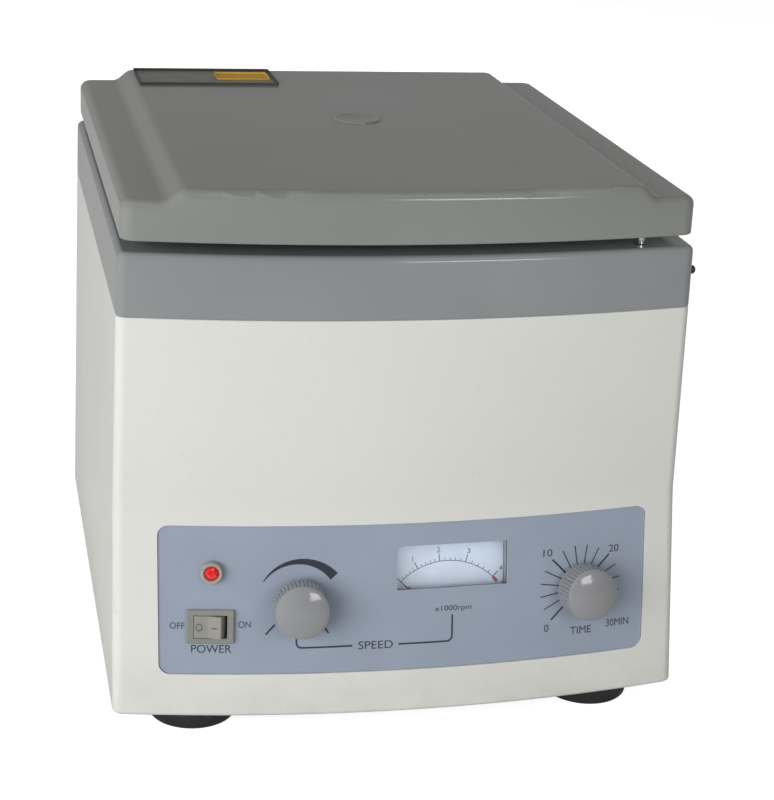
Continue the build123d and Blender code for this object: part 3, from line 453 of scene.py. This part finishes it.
# ---------------------------------------------------------------- lid, its liner, seal and sight plug
# The lid is one gloss moulding with a raised middle and a lower strip down each side. A flat tray
# closes it from below, with a rubber ring that meets the chamber, and a dished plug fills the
# sighting hole in the middle. A bare data plate with an amber patch is stuck near the rear edge.
lid_finish = gloss_finish("lid_gloss", (0.250, 0.260, 0.248), (0.228, 0.237, 0.222), 0.15, 0.03 * MM,
                          coat=0.3)
liner_finish = satin_finish("liner_sheet", (0.52, 0.53, 0.53), 0.42, 0.25, mottle=0.06)
dress(lid_finish, "lid_shell", "sight_plug")
dress(liner_finish, "lid_liner")
dress(rubber_finish, "lid_gasket", "chamber_boot", "motor_dampers")

lid_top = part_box("lid_shell")[1].z
PLATE_X = (-116.5 * MM, -29.5 * MM)
PLATE_Y = (123.3 * MM, 171.8 * MM)
PLATE_BORDER = 0.8 * MM
PLATE_T = 0.35 * MM
PLATE_SUNK = 0.02 * MM
RIM_H = 0.1 * MM
FIELD_AREA = 1000 * MM * MM
AMBER_T = 0.08 * MM
AMBER_X = (-66.0 * MM, -33.0 * MM)
AMBER_Y = (139.0 * MM, 160.5 * MM)


def flat_tag(name, across, along, base, thick, corner, inset=0.0, lift=0.0):
    """Thin plate with rounded corners; an inset leaves a rim that stands lift proud of the field."""
    bpy.ops.object.select_all(action="DESELECT")
    middle = ((across[0] + across[1]) / 2, (along[0] + along[1]) / 2, base + thick / 2)
    size = (across[1] - across[0], along[1] - along[0], thick)
    bpy.ops.mesh.primitive_cube_add(size=1.0, location=middle, scale=size)
    tag = bpy.context.active_object
    tag.name = name
    bpy.ops.object.transform_apply(location=True, scale=True)
    bpy.ops.object.mode_set(mode="EDIT")
    bpy.ops.mesh.select_all(action="DESELECT")
    bpy.ops.object.mode_set(mode="OBJECT")
    for edge in tag.data.edges:
        ends = [tag.data.vertices[i].co for i in edge.vertices]
        edge.select = abs(ends[0].z - ends[1].z) > thick * 0.5
    bpy.ops.object.mode_set(mode="EDIT")
    bpy.ops.mesh.bevel(offset=corner, segments=5, affect="EDGES")
    if inset:
        bpy.ops.mesh.select_all(action="DESELECT")
        bpy.ops.object.mode_set(mode="OBJECT")
        for face in tag.data.polygons:
            face.select = face.normal.z > 0.9
        bpy.ops.object.mode_set(mode="EDIT")
        bpy.ops.mesh.inset(thickness=inset, depth=0.0)
        bpy.ops.transform.translate(value=(0, 0, -lift))
    bpy.ops.object.mode_set(mode="OBJECT")
    return tag


plate_field = satin_finish("plate_field", (0.135, 0.133, 0.118), 0.30, 0.3)
plate_ink = satin_finish("plate_ink", (0.030, 0.030, 0.028), 0.35, 0.3)
amber_print = satin_finish("amber_print", (0.56, 0.32, 0.012), 0.38, 0.25)
data_plate = flat_tag("data_plate", PLATE_X, PLATE_Y, lid_top - PLATE_SUNK, PLATE_T, 1.5 * MM,
                      PLATE_BORDER, RIM_H)
data_plate.data.materials.append(plate_ink)
data_plate.data.materials.append(plate_field)
for face in data_plate.data.polygons:
    inner = face.normal.z > 0.9 and face.area > FIELD_AREA
    face.material_index = int(inner)
field_top = lid_top - PLATE_SUNK + PLATE_T - RIM_H
amber = flat_tag("data_plate_patch", AMBER_X, AMBER_Y, field_top - PLATE_SUNK, AMBER_T, 1.0 * MM)
dress(amber_print, amber)
for tag in (data_plate, amber):
    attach(tag, "lid")

# ---------------------------------------------------------------- hinges
# Two plated steel hinges at the back: a leaf screwed to the case, a leaf screwed to the lid and
# a headed pin through the knuckles. The screws have pan heads with cross recesses.
hinge_finish = satin_finish("hinge_plate", (0.50, 0.50, 0.49), 0.36, 0.4, metal=1.0)
dress(hinge_finish, "case_hinge_leaves", "lid_hinge_leaves")
HINGE_SCREW = (3.2 * MM, 1.9 * MM, 1.5 * MM, 6.0 * MM)
HINGE_SCREW_PITCH = 34.0 * MM


def screws_in_back(node, size, body, turned_places):
    """Cross screws driven into the back in place of node, each at an x with its head turned in degrees."""
    low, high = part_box(node)
    screw = cross_screw(node[:-1], *size)
    seat = high.y - size[1]
    copies(screw, [Matrix.Translation((x, seat, (low.z + high.z) / 2))
                   @ Matrix.Rotation(math.radians(-90), 4, "X") @ Matrix.Rotation(math.radians(turn), 4, "Z")
                   for x, turn in turned_places])
    dress(zinc_finish, screw)
    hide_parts(node)
    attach(screw, body)


for node, body in (("case_hinge_screws", "case"), ("lid_hinge_screws", "lid")):
    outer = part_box(node)[1].x - HINGE_SCREW[0]
    screws_in_back(node, HINGE_SCREW, body, (
        (-outer, 12), (HINGE_SCREW_PITCH - outer, 50), (outer - HINGE_SCREW_PITCH, -20), (outer, 33)))

# ---------------------------------------------------------------- latch
# A turned steel striker hangs from the lid near the right front corner. The black plastic button
# in the side of the case pushes a slide that lets it go.
button_finish = satin_finish("button_plastic", (0.022, 0.022, 0.024), 0.38, 0.4)
turned_steel = satin_finish("turned_steel", (0.66, 0.66, 0.65), 0.16, 0.15, metal=1.0)
dress(button_finish, "latch_slide", "latch_body")
dress(turned_steel, "latch_striker")

# ---------------------------------------------------------------- rotor chamber, rotor and sleeves
# A spun stainless bowl hangs in the deck. In it turns a cast aluminium plate, skimmed on the
# lathe, with drawn sleeves set at an angle and a turned nut on the motor's shaft.
rotor_low, rotor_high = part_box("rotor_body")
ROTOR_Y = (rotor_low.y + rotor_high.y) / 2


def lathe_finish(name, colour, roughness, pitch, groove, metal=1.0):
    """Metal turned or spun about the rotor's axis, with fine rings and the smudges of handling."""
    finish, tree = new_finish(name)
    shader = tree.nodes["Principled BSDF"]
    shader.inputs["Metallic"].default_value = metal
    centred = object_place(tree, centre=(0.0, ROTOR_Y, 0.0))
    rings = tree.nodes.new("ShaderNodeTexWave")
    rings.wave_type = "RINGS"
    rings.rings_direction = "Z"
    rings.inputs["Scale"].default_value = 1.0 / (pitch * 20.0)
    rings.inputs["Distortion"].default_value = 1.2
    rings.inputs["Detail"].default_value = 2.0
    tree.links.new(centred, rings.inputs["Vector"])
    smudge = grain(tree, centred, 22.0, 4.0, 0.6)
    tone = tinted(tree, ramp(tree, smudge, 0.35, 0.7), colour, tuple(c * 0.86 for c in colour))
    turning = ramp(tree, rings.outputs["Fac"], 0.0, 1.0, 0.0, 0.25)
    tone = tinted(tree, turning, tone, tuple(c * 0.8 for c in colour))
    tree.links.new(tone, shader.inputs["Base Color"])
    dull = ramp(tree, smudge, 0.3, 0.75, roughness * 0.8, roughness * 1.35)
    tree.links.new(dull, shader.inputs["Roughness"])
    tree.links.new(relief(tree, rings.outputs["Fac"], groove), shader.inputs["Normal"])
    return finish


chamber_finish = lathe_finish("spun_stainless", (0.60, 0.60, 0.59), 0.24, 1.6 * MM, 0.02 * MM)
rotor_finish = lathe_finish("turned_aluminium", (0.70, 0.71, 0.72), 0.30, 0.8 * MM, 0.02 * MM)
sleeve_finish = satin_finish("drawn_aluminium", (0.74, 0.75, 0.76), 0.28, 0.3, metal=1.0)
shaft_finish = satin_finish("ground_steel", (0.60, 0.60, 0.60), 0.2, 0.2, metal=1.0)
dress(chamber_finish, "rotor_chamber")
dress(rotor_finish, "rotor_body", "rotor_nut")
dress(sleeve_finish, *[f"tube_sleeve_pair_{pair}" for pair in range(1, 7)])
dress(shaft_finish, "motor_shaft")

# ---------------------------------------------------------------- motor
# A flanged brush motor in an enamelled can with cast end bells, on a steel plate that floats
# on three rubber dampers over posts from the base.
cast_finish = satin_finish("cast_caps", (0.45, 0.46, 0.47), 0.5, 0.4, metal=1.0)
dress(satin_finish("motor_enamel", (0.055, 0.062, 0.070), 0.42, 0.5), "motor_housing")
dress(cast_finish, "motor_top_cap", "motor_bottom_cap")
dress(plate_finish, "motor_plate")

# ---------------------------------------------------------------- control panel and its printing
# A thin blue-grey sheet let into the leaning front, screen-printed in dark grey: a growing
# wedge over the speed knob, ticks round the timer, and plain names and numbers.
panel_finish = satin_finish("panel_film", (0.300, 0.350, 0.436), 0.42, 0.12, relief_depth=0.008 * MM,
                            mottle=0.05)
ink_finish = satin_finish("panel_ink", (0.026, 0.034, 0.048), 0.45, 0.1, relief_depth=0.002 * MM)
dress(panel_finish, "control_panel")
INK_T = 0.05 * MM
AHEAD = -0.30
LONGEST_STEP = 3.0


def one_piece(name, parts):
    """Joins printed parts into one piece of that name, active and selected."""
    bpy.ops.object.select_all(action="DESELECT")
    for part in parts:
        part.select_set(True)
    bpy.context.view_layer.objects.active = parts[0]
    bpy.ops.object.join()
    sheet = bpy.context.active_object
    sheet.name = name
    return sheet


def thick_ink(sheet):
    """Gives the active flat piece the thickness of a printed film."""
    film = sheet.modifiers.new("film", "SOLIDIFY")
    film.thickness = INK_T * 0.8
    film.offset = 0.0
    bpy.ops.object.modifier_apply(modifier=film.name)


def lay_on(piece, ground):
    """Drops the active flat piece straight back onto a CAD node's face."""
    press = piece.modifiers.new("press", "SHRINKWRAP")
    press.wrap_method = "PROJECT"
    press.use_project_y = True
    press.use_positive_direction = True
    press.target = nodes[ground]
    press.offset = INK_T
    press.wrap_mode = "ABOVE_SURFACE"
    bpy.ops.object.modifier_apply(modifier=press.name)


def ink_line(course, widths):
    """Strip along (x, z) points in millimetres, with a width at each, held well in front at AHEAD."""
    bpy.ops.object.select_all(action="DESELECT")
    points, spans = [course[0]], [widths[0]]
    for (x0, z0), (x1, z1), w0, w1 in zip(course, course[1:], widths, widths[1:]):
        parts = math.ceil(math.hypot(x1 - x0, z1 - z0) / LONGEST_STEP)
        points += [(x0 + (x1 - x0) * i / parts, z0 + (z1 - z0) * i / parts) for i in range(1, parts + 1)]
        spans += [w0 + (w1 - w0) * i / parts for i in range(1, parts + 1)]
    course, widths = points, spans
    steps = len(course) - 1
    bpy.ops.mesh.primitive_grid_add(x_subdivisions=steps, y_subdivisions=1, size=1.0)
    strip = bpy.context.active_object
    for vertex in strip.data.vertices:
        i = round((vertex.co.x + 0.5) * steps)
        side = 1 if vertex.co.y > 0 else -1
        before, after = course[max(i - 1, 0)], course[min(i + 1, steps)]
        along = Vector((after[0] - before[0], after[1] - before[1])).normalized()
        x = course[i][0] - along.y * side * widths[i] / 2
        z = course[i][1] + along.x * side * widths[i] / 2
        vertex.co = (x * MM, AHEAD, z * MM)
    return strip


def ink_word(words, x, z):
    """Word that fills the box x, z in millimetres, held well in front at AHEAD."""
    bpy.ops.object.select_all(action="DESELECT")
    bpy.ops.object.text_add()
    word = bpy.context.active_object
    word.data.body = words
    bpy.ops.object.convert(target="MESH")
    word = bpy.context.active_object
    xs = [v.co.x for v in word.data.vertices]
    ys = [v.co.y for v in word.data.vertices]
    for vertex in word.data.vertices:
        across = (vertex.co.x - min(xs)) / (max(xs) - min(xs))
        up = (vertex.co.y - min(ys)) / (max(ys) - min(ys))
        vertex.co = ((x[0] + across * (x[1] - x[0])) * MM, AHEAD, (z[0] + up * (z[1] - z[0])) * MM)
    return word


def printed(name, parts, ground, finish, body):
    """Joins printed parts into one film that lies on ground."""
    sheet = one_piece(name, parts)
    lay_on(sheet, ground)
    thick_ink(sheet)
    dress(finish, sheet)
    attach(sheet, body)


def arc(centre, radius, start, end, steps):
    """Points in millimetres on an arc; angles in degrees, clockwise from straight up."""
    angles = [math.radians(start + (end - start) * i / steps) for i in range(steps + 1)]
    return [(centre[0] + radius * math.sin(a), centre[1] + radius * math.cos(a)) for a in angles]


SPEED_KNOB = (-57.5, 70.5)
TIMER_KNOB = (98.0, 70.5)
LINE_W = 0.95
WEDGE_R = 23.2
WEDGE_STEPS = 40
WEDGE_THIN = 0.5
WEDGE_GROWTH = 4.7
WEDGE_CURVE = 1.05
panel_ink = [ink_word("OFF", (-125.4, -117.7), (57.2, 60.6)), ink_word("ON", (-89.7, -83.3), (57.9, 61.4)),
             ink_word("POWER", (-114.4, -93.4), (44.4, 48.7)),
             ink_word("SPEED", (-26.2, -7.5), (45.0, 49.3)),
             ink_word("x1000rpm", (15.4, 35.7), (62.8, 66.6)),
             ink_word("TIME", (92.8, 105.2), (44.5, 48.6)), ink_word("30MIN", (114.1, 127.7), (46.6, 50.6)),
             ink_word("0", (77.4, 80.0), (47.4, 51.4)), ink_word("10", (76.0, 81.2), (89.0, 93.0)),
             ink_word("20", (114.6, 120.3), (88.2, 92.2))]
wedge = arc((SPEED_KNOB[0] + 0.4, SPEED_KNOB[1] - 0.5), WEDGE_R, -57.5, 50, WEDGE_STEPS)
wedge_widths = [WEDGE_THIN + WEDGE_GROWTH * (i / WEDGE_STEPS) ** WEDGE_CURVE for i in range(WEDGE_STEPS + 1)]
panel_ink.append(ink_line(wedge, wedge_widths))
# Two short end marks under the speed knob, then the leads that tie it and the meter to one word.
panel_leads = [
    [(-70.6, 59.5), (-75.5, 54.2)],
    [(-44.4, 57.6), (-42.2, 54.4)],
    [(-59.3, 54.0), (-59.3, 49.4), *arc((-56.6, 49.4), 2.7, -90, -180, 6)[1:], (-29.5, 47.1)],
    [(-4.5, 47.0), (22.0, 47.0), *arc((22.0, 50.0), 3.0, 180, 90, 6)[1:], (25.0, 61.4)]]
for lead in panel_leads:
    panel_ink.append(ink_line(lead, [LINE_W] * len(lead)))
TICKS = 15
TICK_FROM = -135
TICK_SWEEP = 270
TICK_INNER_R = 11.4
TICK_OUTER_R = 23.4
LONG_TICK_R = 23.6
TICK_W = 0.6
for tick in range(TICKS + 1):
    angle = TICK_FROM + tick * TICK_SWEEP / TICKS
    long_tick = tick % 5 == 0
    ends = [arc(TIMER_KNOB, r, angle, angle, 1)[0]
            for r in (TICK_INNER_R, LONG_TICK_R if long_tick else TICK_OUTER_R)]
    panel_ink.append(ink_line(ends, [LINE_W if long_tick else TICK_W] * 2))
printed("panel_print", panel_ink, "control_panel", ink_finish, "case")

# ---------------------------------------------------------------- knobs
# Two glossy warm-grey mouldings, fluted round the skirt, with a domed face. Each is pressed
# on a steel shaft and clears the panel by half a millimetre.
knob_finish = gloss_finish("knob_gloss", (0.285, 0.290, 0.300), (0.262, 0.265, 0.272), 0.14,
                           0.008 * MM, coat=0.4)
FLUTES = 42
FLUTE_POINTS = 4
FLUTE_DEPTH = 0.6 * MM
FLUTE_FOOT = 4.0 * MM
FLUTE_HEAD = 15.4 * MM
FLUTED_R = 13.0 * MM
BORE_R = 3.05
BORE_TOP = 14.0
COLLAR_R = 11.8
SKIRT_R = 14.7
DOME_R = 13.6
# Radius and height in millimetres: down the bore, out under the collar and up the skirt to the dome.
KNOB_PROFILE = [
    (0, BORE_TOP), (BORE_R, BORE_TOP), (BORE_R, 4.2), (9.6, 4.2), (10.0, 3.8), (10.0, 0.3), (10.3, 0.0),
    (COLLAR_R - 0.3, 0.0), (COLLAR_R, 0.3), (COLLAR_R, 3.2), (SKIRT_R - 0.4, 3.4), (SKIRT_R, 3.8),
    (SKIRT_R, 4.4), *[(SKIRT_R - 0.05 - 0.05 * step, 5.0 + 2.0 * step) for step in range(6)],
    (14.35, 15.8), (14.25, 16.4), (14.0, 16.9), (DOME_R, 17.25)]
DOME_TOP = 20.0
DOME_SPHERE = 35.0
KNOB_SUNK = 0.5


def joint_seat(joint_name):
    """Matrix of a control on the leaning front: z out along its joint's axis, y up the slope."""
    joint = next(j for j in frame["joints"] if j["name"] == joint_name)
    out = -Vector(joint["axis"]).normalized()
    across = Vector((0, 0, 1)).cross(out).normalized()
    turn = Matrix((across, out.cross(across), out)).transposed()
    return Matrix.Translation(Vector(joint["pos_m"])) @ turn.to_4x4()


def fluted_knob(name, joint_name, body):
    """Turned knob, domed and fluted, in place of the CAD node that has its body's name."""
    edge = math.degrees(math.acos(DOME_R / DOME_SPHERE))
    crown = arc_profile((0, DOME_TOP - DOME_SPHERE), DOME_SPHERE, edge, 88, 8)
    rise = crown[0][1] - KNOB_PROFILE[-1][1]
    dome = [(r, z - rise) for r, z in crown[1:]]
    profile = [(r * MM, (z - KNOB_SUNK) * MM) for r, z in [*KNOB_PROFILE, *dome, (0, DOME_TOP - rise)]]
    sides = FLUTES * FLUTE_POINTS
    knob = turned_piece(name, profile, sides)
    for vertex in knob.data.vertices:
        reach = vertex.co.xy.length
        around = round(math.atan2(vertex.co.y, vertex.co.x) / math.tau * sides)
        on_skirt = FLUTE_FOOT < vertex.co.z < FLUTE_HEAD and reach > FLUTED_R
        if on_skirt and around % FLUTE_POINTS == 0:
            vertex.co.xy *= 1.0 - FLUTE_DEPTH / reach
    bpy.ops.object.shade_smooth_by_angle(angle=math.radians(24))
    knob.data.transform(joint_seat(joint_name))
    dress(knob_finish, knob)
    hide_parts(body)
    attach(knob, body)


fluted_knob("speed_knob_fluted", "speed_knob_turn", "speed_knob")
fluted_knob("timer_knob_fluted", "timer_knob_turn", "timer_knob")
dress(turned_steel, "speed_knob_shaft", "timer_knob_shaft")
can_finish = satin_finish("control_cans", (0.42, 0.41, 0.37), 0.4, 0.4, metal=1.0)
dress(can_finish, "speed_potentiometer", "timer_unit")

# ---------------------------------------------------------------- power switch and lamp
# A beige-grey rocker in a snap-in bezel, with a ring and a bar printed on its halves, and a red
# lens in a pale plastic collar.
switch_finish = satin_finish("switch_plastic", (0.235, 0.236, 0.212), 0.34, 0.25)
rocker_finish = satin_finish("rocker_plastic", (0.272, 0.270, 0.240), 0.30, 0.2)
collar_finish = satin_finish("lamp_collar", (0.36, 0.315, 0.292), 0.32, 0.2)
dress(switch_finish, "switch_body")
dress(rocker_finish, "switch_rocker")
dress(collar_finish, "lamp_bezel")
rocker_ink = satin_finish("rocker_ink", (0.105, 0.100, 0.080), 0.4, 0.1, relief_depth=0.002 * MM)
printed("rocker_print", [ink_word("O", (-112.3, -108.6), (56.9, 61.1)),
                         ink_line([(-104.2, 59.0), (-101.5, 59.0)], [0.7, 0.7])],
        "switch_rocker", rocker_ink, "rocker")
lens_finish, tree = new_finish("red_lens")
shader = tree.nodes["Principled BSDF"]
LENS_BRIGHT = (0.88, 0.03, 0.04)
LENS_DEEP = (0.50, 0.004, 0.006)
LENS_RIM_SHADE = (0.22, 0.004, 0.008)
cells = tree.nodes.new("ShaderNodeTexVoronoi")
cells.inputs["Scale"].default_value = 650.0
tree.links.new(object_place(tree), cells.inputs["Vector"])
glow = tinted(tree, ramp(tree, cells.outputs["Distance"], 0.15, 0.6), LENS_BRIGHT, LENS_DEEP)
# Painted shade: the lens darkens towards its rim as it turns away from the eye. The same colour also drives
# a faint glow.
facing = tree.nodes.new("ShaderNodeLayerWeight")
facing.inputs["Blend"].default_value = 0.5
glow = tinted(tree, ramp(tree, facing.outputs["Facing"], 0.12, 0.55), glow, LENS_RIM_SHADE)
tree.links.new(glow, shader.inputs["Base Color"])
tree.links.new(glow, shader.inputs["Emission Color"])
shader.inputs["Emission Strength"].default_value = 0.36
shader.inputs["Roughness"].default_value = 0.08
shader.inputs["Coat Weight"].default_value = 0.6
tree.links.new(relief(tree, cells.outputs["Distance"], 0.15 * MM), shader.inputs["Normal"])
dress(lens_finish, "lamp_lens")

# ---------------------------------------------------------------- speed meter
# A moving-coil meter behind a window in the panel: a pale case, a clear pane, a white card
# printed with an arc from 0 to 4 and a red end, and a thin black needle that rests on 0.
card_finish = satin_finish("meter_card", (0.60, 0.68, 0.80), 0.5, 0.08, relief_depth=0.003 * MM)
case_finish = satin_finish("meter_shell", (0.42, 0.43, 0.45), 0.4, 0.2)
card_ink = satin_finish("card_ink", (0.020, 0.022, 0.026), 0.5, 0.1, relief_depth=0.002 * MM)
card_red = satin_finish("card_red", (0.42, 0.020, 0.040), 0.45, 0.1, relief_depth=0.002 * MM)
needle_finish = satin_finish("needle_enamel", (0.012, 0.012, 0.013), 0.35, 0.1)
dress(card_finish, "meter_scale")
dress(case_finish, "meter_case")
dress(needle_finish, "meter_needle")
pane_finish, tree = new_finish("clear_pane")
shader = tree.nodes["Principled BSDF"]
shader.inputs["Base Color"].default_value = (0.97, 0.985, 1.0, 1.0)
shader.inputs["Transmission Weight"].default_value = 1.0
shader.inputs["IOR"].default_value = 1.45
tree.links.new(ramp(tree, grain(tree, object_place(tree), 60.0, 4.0), 0.5, 0.8, 0.01, 0.06),
               shader.inputs["Roughness"])
dress(pane_finish, "meter_pane")

# The housing's cut edge behind the panel's window gets painted shade, near black, so that only the card is
# pale.
WINDOW_PAINTED_SHADE = (0.020, 0.022, 0.026)
WINDOW_MIDDLE = (25.0 * MM, -150.0 * MM, 88.2 * MM)
WINDOW_REACH = (32.0 * MM, 35.0 * MM, 14.0 * MM)
tree = housing_finish.node_tree
shader = tree.nodes["Principled BSDF"]
place = tree.nodes.new("ShaderNodeSeparateXYZ")
tree.links.new(object_place(tree), place.inputs[0])
inside = 1.0
for axis, middle, reach in zip("XYZ", WINDOW_MIDDLE, WINDOW_REACH):
    near = tree.nodes.new("ShaderNodeMath")
    near.operation = "COMPARE"
    near.inputs[1].default_value = middle
    near.inputs[2].default_value = reach
    tree.links.new(place.outputs[axis], near.inputs[0])
    inside = times(tree, near.outputs[0], inside)
# Painted shade: the enamel turns near black inside the box round the window's reveal.
enamel = shader.inputs["Base Color"].links[0].from_socket
tree.links.new(tinted(tree, inside, enamel, WINDOW_PAINTED_SHADE), shader.inputs["Base Color"])

# Marks in millimetres and degrees round the needle's pivot, which lies below the window.
ARC_R = 36.8
ARC_STEPS = 36
ARC_W = 0.4
MAJOR_MARKS = (-44.0, -26.2, -6.4, 16.2, 44.3)
MAJOR_LENGTH = 4.2
MAJOR_W = 0.5
FINE_PARTS = 5
FINE_LENGTH = 1.8
FINE_W = 0.3
NUMBER_R = ARC_R + 6.4
NUMBER_HALF_W = 0.9
ONE_HALF_W = 0.2
NUMBER_HALF_H = 1.4
RED_END = 50.0
RED_STEPS = 6
RED_W = 1.7
CARD_DEPTH = 11.5 * MM
CARD_CLEAR = 0.06 * MM
PIVOT = (0.0, 0.0)


def mark_out(angle, length, width):
    """Printed mark that runs outwards from the meter's arc."""
    return ink_line([arc(PIVOT, r, angle, angle, 1)[0] for r in (ARC_R, ARC_R + length)], [width] * 2)


black_marks = [ink_line(arc(PIVOT, ARC_R, MAJOR_MARKS[0], RED_END, ARC_STEPS), [ARC_W] * (ARC_STEPS + 1))]
for number, angle in enumerate(MAJOR_MARKS):
    black_marks.append(mark_out(angle, MAJOR_LENGTH, MAJOR_W))
    x, z = arc(PIVOT, NUMBER_R, angle, angle, 1)[0]
    half = ONE_HALF_W if number == 1 else NUMBER_HALF_W
    black_marks.append(ink_word(str(number), (x - half, x + half), (z - NUMBER_HALF_H, z + NUMBER_HALF_H)))
for start, end in zip(MAJOR_MARKS, MAJOR_MARKS[1:]):
    for part in range(1, FINE_PARTS):
        black_marks.append(mark_out(start + (end - start) * part / FINE_PARTS, FINE_LENGTH, FINE_W))
red_marks = [ink_line(arc(PIVOT, ARC_R, MAJOR_MARKS[-1], RED_END, RED_STEPS), [RED_W] * (RED_STEPS + 1)),
             ink_line([(-21.6, 23.0), (-19.2, 21.6)], [1.2] * 2)]
on_card = (joint_seat("meter_needle_swing") @ Matrix.Translation((0, 0, AHEAD - CARD_DEPTH + CARD_CLEAR))
           @ Matrix.Rotation(math.radians(-90), 4, "X"))
for name, marks, ink in (("meter_marks", black_marks, card_ink), ("meter_red_marks", red_marks, card_red)):
    card_print = one_piece(name, marks)
    thick_ink(card_print)
    card_print.data.transform(on_card)
    dress(ink, card_print)
    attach(card_print, "case")

# ---------------------------------------------------------------- back: mains inlet and fuse
# Black moulded fittings let into the back wall: an appliance inlet held by two screws and a
# slotted fuse carrier.
fitting_finish = satin_finish("black_fitting", (0.020, 0.020, 0.022), 0.36, 0.4)
dress(fitting_finish, "power_inlet", "fuse_holder")
INLET_SCREW = (3.1 * MM, 1.8 * MM, 1.5 * MM, 7.5 * MM)
low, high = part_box("inlet_screws")
screws_in_back("inlet_screws", INLET_SCREW, "case", (
    (low.x + INLET_SCREW[0], 25), (high.x - INLET_SCREW[0], -10)))

# ---------------------------------------------------------------- electrics inside
# The circuit board with its parts, the finned heat sink, the laminated transformer and the
# meter's coil block. All of it stays behind the walls.
dress(satin_finish("board_green", (0.030, 0.115, 0.055), 0.4, 0.4), "control_board")
dress(satin_finish("black_anodised", (0.030, 0.030, 0.032), 0.4, 0.3, metal=0.5), "heat_sink")
dress(satin_finish("laminated_iron", (0.16, 0.14, 0.12), 0.5, 0.5), "transformer", "meter_movement")
